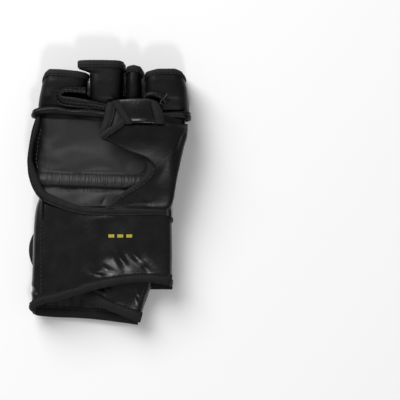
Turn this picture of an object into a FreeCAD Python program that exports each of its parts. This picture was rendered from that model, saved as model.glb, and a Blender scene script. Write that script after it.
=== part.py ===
"""Right-hand mixed-martial-arts glove, lying on its back with the open palm up.

Frame: +X towards the thumb side, +Y towards the fingertips, +Z up out of the palm.
The origin is under the middle of the glove, on the surface that it lies on. Millimetres.

The glove is built as the real one is sewn: a padded back, four padded finger sleeves that
bend at the knuckles, a flattened thumb sleeve folded over the palm, a cuff with an inner
flap, and a wrist strap that is folded round the pinky side, over the front and round the
thumb side, and closes on the back with hook and loop.
"""
import FreeCAD, Part
import math
import os
import Sketcher

document = FreeCAD.newDocument("Glove")
sheet = document.addObject("Spreadsheet::Sheet", "Sizes")

# Driving dimensions in millimetres (angles in degrees), one alias each.
SIZES = {
    # sheet goods
    "leather": 1.6,
    "lining_cloth": 0.8,
    "patch": 1.0,
    "binding_width": 7.0,
    "seam_gap": 0.05,
    # heights of the padded hand above the surface that it lies on
    "ground": 0.0,
    "foam_base": 1.7,
    "foam_depth": 15.3,
    "lining_base": 17.1,
    "lining_depth": 1.9,
    "wall_base": 1.7,
    "pinky_wall_height": 26.5,
    "pinky_edge_base": 28.3,
    "pinky_edge_depth": 3.4,
    "thumb_wall_height": 28.2,
    "thenar_base": 30.0,
    "notch_binding_base": 29.4,
    "notch_binding_depth": 2.8,
    "bar_base": 30.0,
    "bar_depth": 3.6,
    "divider_base": 19.1,
    "divider_depth": 10.8,
    "divider_half_width": 1.4,
    "divider_wrist_end": 66.0,
    "divider_finger_end": 78.0,
    # finger sleeves
    "sleeve_height": 37.0,
    "sleeve_corner": 5.5,
    "sleeve_foam_height": 14.0,
    "knuckle_line": 86.0,
    "knuckle_height": 20.0,
    "knuckle_gap": 0.4,
    "crease_angle": 24.0,
    "little_centre": -39.7,
    "little_width": 44.0,
    "little_top": 106.4,
    "ring_centre": -1.6,
    "ring_width": 30.6,
    "ring_top": 114.0,
    "middle_centre": 21.6,
    "middle_width": 14.2,
    "middle_top": 109.6,
    "index_centre": 49.6,
    "index_width": 40.4,
    "index_top": 106.4,
    # thumb sleeve
    "thumb_base": 34.2,
    "thumb_inner_base": 35.8,
    "thumb_back_binding_depth": 2.2,
    "thumb_gap": 7.2,
    "thumb_front_base": 43.0,
    "thumb_binding_base": 42.6,
    "thumb_binding_depth": 2.4,
    # cuff
    "cuff_base": 4.1,
    "cuff_lining_base": 5.8,
    "hem_base": 3.4,
    "hem_depth": 4.4,
    "flap_base": 22.0,
    "flap_wall_base": 6.7,
    "flap_wall_height": 15.3,
    "flap_binding_base": 21.4,
    "flap_binding_depth": 2.8,
    # strap
    "front_base": 26.0,
    "front_wall_height": 20.2,
    "front_wall_base": 5.8,
    "strap_binding_base": 25.4,
    "strap_binding_depth": 2.8,
    "mark_base": 27.6,
    "mark_film": 0.2,
    "mark_left": -0.2,
    "mark_bar_length": 5.6,
    "mark_spacing": 7.4,
    "mark_lower_edge": -39.0,
    "mark_upper_edge": -35.4,
    "turn_binding_proud": 0.6,
    "strap_turn_x": 53.0,
    "strap_turn_base": 3.2,
    "strap_turn_height": 22.2,
    "strap_middle": -50.6,
    "strap_width": 58.4,
    "tail_end_centre": -40.2,
    "tail_binding_width": 5.0,
    "tail_binding_depth": 2.2,
    "tail_right_end": 53.4,
    "hook_base": 1.7,
    "hook_margin": 2.5,
    "hook_right_end": -4.0,
    "loop_base": 3.0,
}

for row, (alias, value) in enumerate(SIZES.items(), start=1):
    sheet.set(f"A{row}", alias)
    sheet.set(f"B{row}", str(value))
    sheet.setAlias(f"B{row}", alias)
document.recompute()

sub_parts = []


def size(alias):
    """A driving dimension as a plain number."""
    return float(getattr(sheet, alias))


def new_body(label):
    """An empty body that will become the sub-part of that name."""
    body = document.addObject("PartDesign::Body", label)
    body.Label = label
    sub_parts.append(body)
    return body


def origin_plane(body, role):
    """One of a body's own origin planes."""
    return next(item for item in body.Origin.OriginFeatures if item.Role == role)


def edges_of(outline):
    """Lines and arcs round a closed outline.

    A step (x, y) is a straight run to that point, and a step (x1, y1, x2, y2) is an arc
    through the first point to the second.
    """
    start = outline[0]
    edges = []
    for step in outline[1:] + [outline[0]]:
        end = step[-2:]
        if math.dist(start, end) < 1e-6:
            continue
        first = FreeCAD.Vector(*start)
        last = FreeCAD.Vector(*end)
        if len(step) == 4:
            edges.append(Part.Arc(first, FreeCAD.Vector(*step[:2]), last))
        else:
            edges.append(Part.LineSegment(first, last))
        start = end
    return edges


def add_pad(body, outline, base, height):
    """Raise an outline, drawn on a level of the sheet, by a height of the sheet."""
    sketch = body.newObject("Sketcher::SketchObject", body.Label + "_outline")
    sketch.AttachmentSupport = [(origin_plane(body, "XY_Plane"), "")]
    sketch.MapMode = "FlatFace"
    sketch.setExpression("AttachmentOffset.Base.z", f"Sizes.{base}")
    sketch.addGeometry(edges_of(outline))
    pad = body.newObject("PartDesign::Pad", body.Label + "_pad")
    pad.Profile = sketch
    pad.setExpression("Length", f"Sizes.{height}")
    body.Tip = pad


def plate(label, outline, base, height):
    """A panel, pad or strip: one outline raised from one level."""
    body = new_body(label)
    add_pad(body, outline, base, height)
    return body


def strip(outer, inner):
    """Closed outline between two runs of arcs that are drawn the same way.

    Each run is a start point followed by steps (x1, y1, x2, y2).
    """
    ends = [outer[0]] + [step[-2:] for step in outer[1:]]
    points = [inner[0]] + [step[-2:] for step in inner[1:]]
    back = [points[-1]]
    for number in range(len(inner) - 1, 0, -1):
        step = inner[number]
        through = step[:2] if len(step) == 4 else ()
        back.append(through + points[number - 1])
    return [ends[0]] + outer[1:] + back


# ---------------------------------------------------------------- the padded hand

def hand_outline(inset):
    """The hand from the wrist to the knuckle line, drawn inside the outer leather."""
    top = size("knuckle_line") - size("knuckle_gap") - inset
    return [
        (-57 + inset, -12 + inset),
        (-65.6 + inset, 6, -69.4 + inset, 26),
        (-68.2 + inset, 52, -61.6 + inset, top),
        (69.4 - inset, top),
        (69.4 - inset, 60),
        (62.6 - inset, 27, 53.4 - inset, -12 + inset),
    ]


def pinky_wall_outline():
    """The leather and padding that stand up along the pinky side."""
    outer = [(-62.6, -1.2), (-68.0, 11, -69.4, 26), (-68.6, 50, -63.6, 73)]
    inner = [(-59.6, 0.8), (-64.4, 12, -65.6, 26), (-64.8, 50, -60.4, 73)]
    return strip(outer, inner)


def thumb_wall_outline():
    """The leather and padding that stand up along the thumb side."""
    outer = [(53.2, -11.4), (62.6, 27, 69.4, 60), (69.4, 73)]
    inner = [(50.0, -11.4), (59.2, 27, 66.0, 60), (66.0, 73)]
    return strip(outer, inner)


def build_hand():
    """Back shell, padding, lining and the walls at both sides."""
    plate("back_shell", hand_outline(0), "ground", "leather")
    plate("back_foam", hand_outline(4.2), "foam_base", "foam_depth")
    plate("palm_lining", hand_outline(4.2), "lining_base", "lining_depth")
    plate("pinky_side_panel", pinky_wall_outline(), "wall_base", "pinky_wall_height")
    plate("thumb_side_panel", thumb_wall_outline(), "wall_base", "thumb_wall_height")


def build_palm():
    """The bound edges round the open palm and the panel at the root of the thumb."""
    edge_outer = [(-60.6, -3.6), (-67.6, 9, -69.93, 26), (-68.6, 45, -64.4, 64)]
    edge_inner = [(-57.4, 5.6), (-62.6, 16, -64.6, 28), (-64.4, 43, -60.2, 64)]
    plate("pinky_edge_binding", strip(edge_outer, edge_inner), "pinky_edge_base", "pinky_edge_depth")

    thenar = [(40.6, 20.4), (66.2, 54), (65.2, 44, 62.4, 30), (58.6, 8, 53.2, -11.4),
              (5.4, -11.4), (18.6, 0.2, 28.8, 5.8), (36.8, 11.2, 40.6, 20.4)]
    plate("thenar_panel", thenar, "thenar_base", "leather")
    notch_outer = [(5.1, -11.4), (18.4, 0.4, 28.6, 6.0), (36.5, 11.4, 40.2, 20.6)]
    notch_inner = [(-2.4, -11.4), (12.6, 1.4, 23.6, 8.4), (30.4, 13.6, 32.4, 21.6)]
    plate("palm_notch_binding", strip(notch_outer, notch_inner), "notch_binding_base", "notch_binding_depth")

    upper = [(-64.6, 70.4), (-30, 73.4, -2.6, 71.2), (30, 70.2, 70, 65.6)]
    lower = [(-65.4, 64.2), (-33, 67.4, -3.8, 64.6), (30, 63.8, 69.2, 57.6)]
    plate("palm_bar", strip(upper, lower), "bar_base", "bar_depth")


def build_dividers():
    """The sewn webs between neighbouring finger holes."""
    half = size("divider_half_width")
    wrist_end = size("divider_wrist_end")
    finger_end = size("divider_finger_end")
    gaps = {"divider_little_ring": ("little", "ring"),
            "divider_ring_middle": ("ring", "middle"),
            "divider_middle_index": ("middle", "index")}
    for label, (left, right) in gaps.items():
        left_edge = size(left + "_centre") + size(left + "_width") / 2
        right_edge = size(right + "_centre") - size(right + "_width") / 2
        middle = (left_edge + right_edge) / 2
        outline = [(middle - half, wrist_end), (middle + half, wrist_end),
                   (middle + half, finger_end), (middle - half, finger_end)]
        plate(label, outline, "divider_base", "divider_depth")


# ---------------------------------------------------------------- finger sleeves

def rounded_rectangle(sketch, name, inset):
    """A rounded rectangle about the sketch's vertical axis, its sizes bound to the sheet.

    `name` is the finger, and `inset` an expression for how far inside the sleeve's outer
    face it lies.
    """
    first = sketch.GeometryCount
    half = size(name + "_width") / 2 - 2
    high = size("sleeve_height") - 2
    corner = 1.5
    corners = [(half - corner, 2 + corner, -90), (half - corner, high - corner, 0),
               (corner - half, high - corner, 90), (corner - half, 2 + corner, 180)]
    ends = []
    for middle_x, middle_z, angle in corners:
        for turn in (angle, angle + 90):
            ends.append(FreeCAD.Vector(middle_x + corner * math.cos(math.radians(turn)),
                                       middle_z + corner * math.sin(math.radians(turn)), 0))
    for number, (middle_x, middle_z, angle) in enumerate(corners):
        circle = Part.Circle(FreeCAD.Vector(middle_x, middle_z, 0), FreeCAD.Vector(0, 0, 1), corner)
        sketch.addGeometry(Part.ArcOfCircle(circle, math.radians(angle), math.radians(angle + 90)))
        sketch.addGeometry(Part.LineSegment(ends[2 * number + 1], ends[(2 * number + 2) % 8]))
    arcs = [first + 2 * number for number in range(4)]
    lines = [first + 2 * number + 1 for number in range(4)]
    right, top, left, bottom = lines
    for number in range(4):
        sketch.addConstraint(Sketcher.Constraint("Tangent", arcs[number], 2, lines[number], 1))
        sketch.addConstraint(Sketcher.Constraint("Tangent", lines[number], 2, arcs[(number + 1) % 4], 1))
    for line in (right, left):
        sketch.addConstraint(Sketcher.Constraint("Vertical", line))
    for line in (top, bottom):
        sketch.addConstraint(Sketcher.Constraint("Horizontal", line))
    for arc in arcs[1:]:
        sketch.addConstraint(Sketcher.Constraint("Equal", arcs[0], arc))
    dimensions = [
        (Sketcher.Constraint("DistanceX", -1, 1, right, 2, half), f"Sizes.{name}_width / 2 - ({inset})"),
        (Sketcher.Constraint("DistanceX", left, 1, right, 2, 2 * half),
         f"Sizes.{name}_width - 2 * ({inset})"),
        (Sketcher.Constraint("DistanceY", -1, 1, bottom, 1, 2.0), f"{inset}"),
        (Sketcher.Constraint("DistanceY", -1, 1, top, 1, high), f"Sizes.sleeve_height - ({inset})"),
        (Sketcher.Constraint("Radius", arcs[0], corner), f"Sizes.sleeve_corner - ({inset})"),
    ]
    for constraint, expression in dimensions:
        index = sketch.addConstraint(constraint)
        sketch.setExpression(f"Constraints[{index}]", expression)


def section_sketch(body, start):
    """A sketch across a finger, `start` (an expression) beyond the knuckle line."""
    sketch = body.newObject("Sketcher::SketchObject", body.Label + "_section")
    sketch.AttachmentSupport = [(origin_plane(body, "XZ_Plane"), "")]
    sketch.MapMode = "FlatFace"
    sketch.setExpression("AttachmentOffset.Base.z", f"-({start})")
    return sketch


def pad_along_finger(body, sketch, length):
    """Draw a section out towards the fingertip."""
    pad = body.newObject("PartDesign::Pad", body.Label + "_pad")
    pad.Profile = sketch
    pad.Reversed = True
    pad.setExpression("Length", length)
    body.Tip = pad


def relieve_crease(body):
    """Cut the palm side back from the knuckle, where the leather creases as it bends."""
    rise = 30
    reach = rise * math.tan(math.radians(size("crease_angle")))
    sketch = body.newObject("Sketcher::SketchObject", body.Label + "_crease")
    sketch.AttachmentSupport = [(origin_plane(body, "YZ_Plane"), "")]
    sketch.MapMode = "FlatFace"
    sketch.setExpression("AttachmentOffset.Base.y", "Sizes.knuckle_height")
    sketch.setExpression("AttachmentOffset.Base.x", "Sizes.knuckle_gap")
    sketch.addGeometry(edges_of([(-5, 0), (0, 0), (reach, rise), (-5, rise)]))
    pocket = body.newObject("PartDesign::Pocket", body.Label + "_relief")
    pocket.Profile = sketch
    pocket.Type = "ThroughAll"
    pocket.SideType = "Symmetric"
    body.Tip = pocket


def finger_body(label, name):
    """A body placed on a finger's middle line at the knuckle."""
    body = new_body(label)
    body.setExpression("Placement.Base.x", f"Sizes.{name}_centre")
    body.setExpression("Placement.Base.y", "Sizes.knuckle_line")
    return body


def build_finger(name):
    """Leather sleeve, lining, back padding and bound opening of one finger."""
    reach = f"(Sizes.{name}_top - Sizes.knuckle_line)"

    sleeve = finger_body(name + "_sleeve", name)
    section = section_sketch(sleeve, "Sizes.knuckle_gap")
    rounded_rectangle(section, name, "0")
    rounded_rectangle(section, name, "Sizes.leather")
    pad_along_finger(sleeve, section, f"{reach} - Sizes.binding_width - Sizes.knuckle_gap")
    relieve_crease(sleeve)

    lining = finger_body(name + "_lining", name)
    section = section_sketch(lining, "Sizes.knuckle_gap")
    rounded_rectangle(section, name, "Sizes.leather + 0.05")
    rounded_rectangle(section, name, "Sizes.leather + Sizes.lining_cloth")
    pad_along_finger(lining, section, f"{reach} - Sizes.binding_width - Sizes.knuckle_gap")
    relieve_crease(lining)

    binding = finger_body(name + "_binding", name)
    section = section_sketch(binding, f"{reach} - Sizes.binding_width + 0.02")
    rounded_rectangle(section, name, "0")
    rounded_rectangle(section, name, "Sizes.leather + Sizes.lining_cloth")
    pad_along_finger(binding, section, "Sizes.binding_width - 0.02")

    skin = size("leather") + size("lining_cloth") + 0.1
    half = size(name + "_width") / 2 - skin
    top = size("sleeve_foam_height")
    corner = size("sleeve_corner") - skin
    cut = corner * (1 - math.sqrt(0.5))
    foam = finger_body(name + "_foam", name)
    section = section_sketch(foam, "Sizes.knuckle_gap")
    section.addGeometry(edges_of([
        (corner - half, skin), (half - corner, skin),
        (half - cut, skin + cut, half, skin + corner), (half, top),
        (-half, top), (-half, skin + corner),
        (cut - half, skin + cut, corner - half, skin)]))
    pad_along_finger(foam, section, f"{reach} - Sizes.binding_width - Sizes.knuckle_gap - 1")


# ---------------------------------------------------------------- thumb

def build_thumb():
    """The flattened thumb sleeve, folded over the palm, and the band over its tip."""
    back_layer = [(38.2, 22.6), (28, 31.2), (-4.4, 46.2), (-8.6, 48.4, -8.0, 51.4),
                  (-3.0, 64, -0.6, 76.4), (2.6, 79.4, 8.6, 79.8), (36, 79.8),
                  (41.2, 79.2, 43, 76.6), (47.6, 67, 48.8, 58.6), (58, 58.2, 64.4, 56.2)]
    front_layer = [(38.2, 22.6), (28, 31.2), (-2.6, 45.2), (16.2, 58.6), (48.8, 58.6),
                   (58, 58.2, 64.4, 56.2)]
    lower_wall = [(27.4, 31.5), (28.4, 33.4), (0.2, 46.4), (-2.6, 45.2)]
    upper_wall = [(48.6, 57.0), (48.6, 58.6), (58, 58.2, 64.4, 56.2), (63.2, 54.8), (57.4, 56.6, 48.6, 57.0)]
    sleeve = new_body("thumb_sleeve")
    add_pad(sleeve, back_layer, "thumb_base", "leather")
    add_pad(sleeve, lower_wall, "thumb_inner_base", "thumb_gap")
    sleeve_parts = [(upper_wall, "thumb_inner_base", "thumb_gap"),
                    (front_layer, "thumb_front_base", "leather")]
    for outline, base, height in sleeve_parts:
        add_pad(sleeve, outline, base, height)

    lining = [(36, 26.8), (28.8, 33.9), (1.6, 46.8), (4.6, 56.6), (9.6, 76.8), (39.6, 76.8),
              (45.6, 68, 46.8, 56.2), (57.2, 55.8, 62.4, 54.2)]
    plate("thumb_lining", lining, "thumb_inner_base", "lining_cloth")
    back_outer = [(-7.0, 51.4), (-2.4, 64, 0, 76.4)]
    back_inner = [(-0.2, 50.4), (5.2, 64, 7.4, 76.4)]
    plate("thumb_back_binding", strip(back_outer, back_inner), "thumb_inner_base", "thumb_back_binding_depth")
    mouth = [(-3.0, 45.6), (15.9, 59.0), (14.4, 61.0), (2.6, 57.4), (-7.2, 50.6), (-8.0, 47.0, -3.0, 45.6)]
    plate("thumb_mouth_binding", mouth, "thumb_binding_base", "thumb_binding_depth")

    band_face = [(10.0, 78.2), (22.0, 59.0), (40.4, 59.0), (35.6, 78.2)]
    band_turn = [(10.0, 78.2), (35.6, 78.2), (35.6, 79.8), (10.0, 79.8)]
    band = new_body("thumb_band")
    add_pad(band, band_turn, "thumb_inner_base", "thumb_gap")
    add_pad(band, band_face, "thumb_front_base", "leather")
    add_pad(band, band_turn, "thumb_front_base", "leather")
    inner_edge = [(2.8, 77.4), (15.4, 61.2), (16.4, 59.0), (21.8, 59.0), (9.8, 78.2), (9.8, 79.8),
                  (5, 79.6, 2.8, 77.4)]
    plate("thumb_band_inner_binding", inner_edge, "thumb_binding_base", "thumb_binding_depth")
    outer_edge = [(35.8, 79.8), (35.8, 78.2), (40.6, 59.0), (48.7, 59.0), (47.6, 68, 42.6, 77.4),
                  (40, 79.6, 35.8, 79.8)]
    plate("thumb_band_outer_binding", outer_edge, "thumb_binding_base", "thumb_binding_depth")


# ---------------------------------------------------------------- cuff

def build_cuff():
    """Back of the cuff with its lining, loop patch and hem, and the inner flap."""
    def cuff_outline(inset):
        return [(-61.6 + inset, -12.2), (-65.8 + inset, -44, -68.2 + inset, -98.4 + inset),
                (-20, -100.4 + inset, 25.4 - inset, -107 + inset), (33.4 - inset, -84),
                (49.6 - inset, -78), (49.6 - inset, -12.2)]

    plate("cuff_back_panel", cuff_outline(0), "cuff_base", "leather")
    plate("cuff_lining", cuff_outline(3.2), "cuff_lining_base", "lining_cloth")
    plate("loop_patch", [(-58, -72), (36, -72), (36, -29), (-58, -29)], "loop_base", "patch")
    hem_upper = [(-67.8, -98.6), (-20, -100.6, 25.6, -107.2)]
    hem_lower = [(-65.8, -105.2), (-20, -107.6, 22.2, -114)]
    plate("cuff_hem_binding", strip(hem_upper, hem_lower), "hem_base", "hem_depth")

    flap_face = [(-20, -22), (47.8, -22), (47.8, -77), (36.2, -81), (28.4, -102.6),
                 (4, -94, -20, -84.4)]
    flap_wall = [(46.2, -22), (47.8, -22), (47.8, -77), (46.2, -77.6)]
    flap = new_body("cuff_flap")
    add_pad(flap, flap_wall, "flap_wall_base", "flap_wall_height")
    add_pad(flap, flap_face, "flap_base", "leather")
    edge_upper = [(-20.4, -84.6), (4, -94.3, 28.3, -102.9)]
    edge_lower = [(-25.4, -88.4), (0, -101.2, 25.4, -111.4)]
    plate("cuff_flap_binding", strip(edge_upper, edge_lower), "flap_binding_base", "flap_binding_depth")


# ---------------------------------------------------------------- wrist strap

def build_strap_front():
    """The strap over the front of the wrist, with its bound edges."""
    top_edge = [(-60.8, -4.0), (-42, -13.6, -16, -19.2), (18, -20.6, 52.4, -20.4)]
    top_edge_upper = [(-57.6, 5.2), (-40, -7.4, -10, -12.5), (20, -12.7, 52.4, -12.5)]
    bottom_edge = [(-68.4, -94.4), (-50, -86.2, -31, -80.8), (3, -72.2, 36, -69.8), (45, -70.6, 52.4, -73.4)]
    bottom_edge_lower = [(-66.2, -101), (-48, -93.8, -31, -89.4), (0, -80.8, 30, -77), (42, -77.8, 52.4, -80.6)]

    front_top = [(-61.2, -4.6), (-42.2, -13.9, -16, -19.5), (18, -20.9, 52.4, -20.7)]
    front_bottom = [(-68.2, -93.8), (-50, -85.8, -31, -80.4), (3, -71.8, 36, -69.4), (45, -70.2, 52.4, -73.0)]
    front_wall = [(-61.8, -12.4), (-65.8, -44, -68.2, -93.8), (-66.6, -93.2), (-64.2, -44, -60.2, -12.8)]
    front = new_body("strap_front_panel")
    add_pad(front, front_wall, "front_wall_base", "front_wall_height")
    add_pad(front, strip(front_top, front_bottom), "front_base", "leather")
    plate("strap_top_binding", strip(top_edge, top_edge_upper), "strap_binding_base", "strap_binding_depth")
    plate("strap_bottom_binding", strip(bottom_edge, bottom_edge_lower),
          "strap_binding_base", "strap_binding_depth")


def build_size_mark():
    """Three plain bars of transfer film, pressed on the middle of the strap."""
    mark = new_body("size_mark")
    low = size("mark_lower_edge")
    high = size("mark_upper_edge")
    for number in range(3):
        left = size("mark_left") + number * size("mark_spacing")
        right = left + size("mark_bar_length")
        add_pad(mark, [(left, low), (right, low), (right, high), (left, high)], "mark_base", "mark_film")


def build_strap_turn():
    """The stretch that goes round the thumb side of the wrist."""
    left = size("strap_turn_x")
    right = left + size("leather")
    low = size("strap_middle") - size("strap_width") / 2
    high = low + size("strap_width")
    edge = size("tail_binding_width")
    plate("strap_turn_panel",
          [(left, low + edge), (right, low + edge), (right, high - edge), (left, high - edge)],
          "strap_turn_base", "strap_turn_height")
    gap = size("seam_gap")
    margins = {"strap_turn_lower_binding": (low, low + edge - gap),
               "strap_turn_upper_binding": (high - edge + gap, high)}
    proud = size("turn_binding_proud")
    for label, (near, far) in margins.items():
        outline = [(left, near), (right + proud, near), (right + proud, far), (left, far)]
        plate(label, outline, "strap_turn_base", "strap_turn_height")


def tail_outline(inset):
    """A straight strap with a half-round end at the pinky side."""
    right = size("tail_right_end")
    centre_x = size("tail_end_centre")
    middle = size("strap_middle")
    radius = size("strap_width") / 2 - inset
    return [(right, middle - radius), (right, middle + radius), (centre_x, middle + radius),
            (centre_x - radius, middle, centre_x, middle - radius)]


def build_strap_tail():
    """The free end that lies on the back of the cuff, with its hook patch."""
    edge = size("tail_binding_width")
    plate("strap_tail_panel", tail_outline(edge), "ground", "leather")

    right = size("tail_right_end")
    centre_x = size("tail_end_centre")
    middle = size("strap_middle")
    outer = size("strap_width") / 2
    inner = outer - edge + size("seam_gap")
    plate("strap_tail_binding",
          [(right, middle - outer), (right, middle - inner), (centre_x, middle - inner),
           (centre_x - inner, middle, centre_x, middle + inner), (right, middle + inner),
           (right, middle + outer), (centre_x, middle + outer),
           (centre_x - outer, middle, centre_x, middle - outer)],
          "ground", "tail_binding_depth")
    hook = tail_outline(edge + size("hook_margin"))
    hook_end = size("hook_right_end")
    hook[0] = (hook_end, hook[0][1])
    hook[1] = (hook_end, hook[1][1])
    plate("hook_patch", hook, "hook_base", "patch")


# ---------------------------------------------------------------- build, check, write

def check(solids):
    """Stop if any object failed or any sub-part isn't whole."""
    for item in document.Objects:
        if "Invalid" in item.State or "Error" in item.State:
            raise RuntimeError(f"{item.Label} failed: {item.State}")
    for body in solids:
        if body.Shape.isNull() or not body.Shape.isValid() or body.Shape.Volume < 1:
            raise RuntimeError(f"{body.Label} has no sound shape")


def write(solids):
    """One STEP file for each sub-part, named by its label."""
    os.makedirs("parts", exist_ok=True)
    for body in solids:
        body.Shape.exportStep(f"parts/{body.Label}.step")


build_hand()
build_palm()
build_dividers()
for finger in ("little", "ring", "middle", "index"):
    build_finger(finger)
build_thumb()
build_cuff()
build_strap_front()
build_size_mark()
build_strap_turn()
build_strap_tail()
document.recompute()
check(sub_parts)
write(sub_parts)
whole = Part.makeCompound([body.Shape for body in sub_parts]).BoundBox
print(f"{len(sub_parts)} sub-parts, X {whole.XMin:.2f}..{whole.XMax:.2f}, "
      f"Y {whole.YMin:.2f}..{whole.YMax:.2f}, Z {whole.ZMin:.2f}..{whole.ZMax:.2f}")
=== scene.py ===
"""The look of a right-hand mixed-martial-arts glove, lying on its back with the open palm up.

Every length here is in millimetres and is turned into metres when a mesh is made. +X is the
thumb side, +Y the fingertips and +Z up out of the palm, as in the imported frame.
"""
import math

import bpy
import numpy as np
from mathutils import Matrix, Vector, noise


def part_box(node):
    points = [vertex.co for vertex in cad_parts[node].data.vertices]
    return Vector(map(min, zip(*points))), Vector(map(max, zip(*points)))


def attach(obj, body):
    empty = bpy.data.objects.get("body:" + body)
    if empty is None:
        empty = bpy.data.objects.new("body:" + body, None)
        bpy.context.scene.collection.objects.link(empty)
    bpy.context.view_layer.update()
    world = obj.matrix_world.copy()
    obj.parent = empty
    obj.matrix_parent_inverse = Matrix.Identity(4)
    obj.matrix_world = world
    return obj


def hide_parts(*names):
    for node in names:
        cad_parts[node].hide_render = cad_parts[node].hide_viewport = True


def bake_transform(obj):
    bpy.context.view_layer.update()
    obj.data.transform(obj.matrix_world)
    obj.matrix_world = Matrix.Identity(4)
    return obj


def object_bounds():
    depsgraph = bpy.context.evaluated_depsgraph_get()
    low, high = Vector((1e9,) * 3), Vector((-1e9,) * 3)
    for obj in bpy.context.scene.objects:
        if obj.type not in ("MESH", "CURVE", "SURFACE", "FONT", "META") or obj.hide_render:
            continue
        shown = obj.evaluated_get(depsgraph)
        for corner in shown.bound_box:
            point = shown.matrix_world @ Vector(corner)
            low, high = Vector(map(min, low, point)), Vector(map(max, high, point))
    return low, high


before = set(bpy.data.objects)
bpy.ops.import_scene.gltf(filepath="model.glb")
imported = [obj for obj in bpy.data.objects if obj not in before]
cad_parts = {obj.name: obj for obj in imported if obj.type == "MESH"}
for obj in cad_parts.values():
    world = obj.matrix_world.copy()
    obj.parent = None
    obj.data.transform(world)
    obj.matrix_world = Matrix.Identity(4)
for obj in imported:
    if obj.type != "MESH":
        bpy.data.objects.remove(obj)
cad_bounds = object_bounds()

MM = 0.001

# Thicknesses of the sheet goods, in millimetres.
LEATHER = 1.3
LINING = 0.7
RIM_TAPE = 2.2
# Spacing of the mesh and of the sewing, in millimetres.
STEP = 1.5
STITCH = 2.5
STITCH_GAP = 1.1
THREAD = 0.27
THREAD_SIDES = 6
# The rings of one stitch: how far along it, how thick and how high, as shares of the thread.
STITCH_RINGS = [(0, 0.35, -0.3), (0.15, 0.9, 0.1), (0.5, 1, 0.25), (0.85, 0.9, 0.1), (1, 0.35, -0.3)]
# How full the foam pads are, and how many rings and points round a ring they are made of.
PAD_RINGS = 41
PAD_ROUND = 56
# Edges that turn by more than this, in degrees, stay sharp.
SHARP_ANGLE = 52
# How far each way along a seam its direction is measured, in millimetres.
SEAM_STEP = 0.4
# A length that is never divided by less than this.
TINY = 1e-9


# ---------------------------------------------------------------- where the frame's parts are

def low(node):
    """A CAD node's lowest corner, in millimetres."""
    return np.array(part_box(node)[0]) / MM


def high(node):
    """A CAD node's highest corner, in millimetres."""
    return np.array(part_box(node)[1]) / MM


# ---------------------------------------------------------------- curves and surfaces

def catmull(rows, places):
    """Rows of numbers joined smoothly, read at fractional row numbers."""
    rows = np.asarray(rows, float)
    last = len(rows) - 1
    out = []
    for place in places:
        first = min(int(place), last - 1)
        t = place - first
        before = rows[max(first - 1, 0)]
        start = rows[first]
        end = rows[first + 1]
        after = rows[min(first + 2, last)]
        out.append(0.5 * (2 * start + (end - before) * t
                          + (2 * before - 5 * start + 4 * end - after) * t * t
                          + (3 * start - before - 3 * end + after) * t ** 3))
    return np.array(out)


def fine_curve(points):
    """Many points on a smooth curve through the given ones."""
    return catmull(points, np.linspace(0, len(points) - 1, 24 * len(points)))


def travel_along(points):
    """How far along a line of points each of them is."""
    return np.concatenate([[0], np.cumsum(np.linalg.norm(np.diff(points, axis=0), axis=1))])


def spline(points, count):
    """Evenly spaced points on a smooth curve through the given ones."""
    fine = fine_curve(points)
    travel = travel_along(fine)
    wanted = np.linspace(0, travel[-1], count)
    return np.stack([np.interp(wanted, travel, fine[:, axis]) for axis in range(3)], axis=1)


def length_of(points):
    """The length of a smooth curve through the given points."""
    return float(np.linalg.norm(np.diff(fine_curve(points), axis=0), axis=1).sum())


def read_off(table, value, column=1):
    """A column of a table, read where the table's first column has that value."""
    return float(np.interp(value, [row[0] for row in table], [row[column] for row in table]))


def loft(curves, step=STEP):
    """A grid of points on the smooth surface through several curves."""
    along = max(int(max(length_of(curve) for curve in curves) / step), 4)
    rails = np.array([spline(curve, along) for curve in curves])
    across_length = np.linalg.norm(np.diff(rails[:, along // 2], axis=0), axis=1).sum()
    across = max(int(across_length / step), 4)
    return catmull(rails, np.linspace(0, len(curves) - 1, across))


def normals_of(grid, closed=False):
    """Unit normals of a grid of points; closed joins its last column to its first."""
    along = np.gradient(grid, axis=0)
    if closed:
        across = (np.roll(grid, -1, axis=1) - np.roll(grid, 1, axis=1)) / 2
    else:
        across = np.gradient(grid, axis=1)
    normal = np.cross(along, across)
    return normal / np.maximum(np.linalg.norm(normal, axis=2, keepdims=True), TINY)


def around(count):
    """Angles once round a ring, evenly spread."""
    return np.linspace(0, 2 * math.pi, count, endpoint=False)


def rounded(angle, power):
    """Across and up a rounded box of half size 1 at that angle, squarer with more power."""
    return [math.copysign(abs(part) ** (2 / power), part) for part in (math.cos(angle), math.sin(angle))]


def bump(x, width):
    """A smooth hump of height 1 about zero."""
    return np.exp(-(np.asarray(x) / width) ** 2)


def ramp(x, start, end):
    """0 before start, 1 after end, smooth between."""
    t = np.clip((np.asarray(x, float) - start) / (end - start), 0, 1)
    return t * t * (3 - 2 * t)


def noise_over(x, y, z):
    """Smooth noise at each of those places."""
    x, y, z = np.broadcast_arrays(x, y, z)
    out = np.empty(x.shape)
    for spot in np.ndindex(x.shape):
        out[spot] = noise.noise(Vector((x[spot], y[spot], z[spot])))
    return out


def rumple(grid, normal, size, depth, seed, stretch=(1, 1, 1)):
    """Soft lumps and hollows of about that size, pushed along the normals."""
    at = grid / size * stretch
    lumps = noise_over(at[..., 0] + seed, at[..., 1] - seed, at[..., 2] + 2 * seed)
    return grid + normal * (lumps * depth)[..., None]


def crease(grid, normal, start, end, width, depth):
    """A fold along a line seen from above, deepest at its middle."""
    start = np.array(start, float)
    run = np.array(end, float) - start
    run_length = np.linalg.norm(run)
    run /= run_length
    offset = grid[..., :2] - start
    along = offset @ run / run_length
    across = offset[..., 0] * run[1] - offset[..., 1] * run[0]
    depth_here = depth * bump(across, width) * bump(along - 0.5, 0.36)
    return grid + normal * depth_here[..., None]


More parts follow.
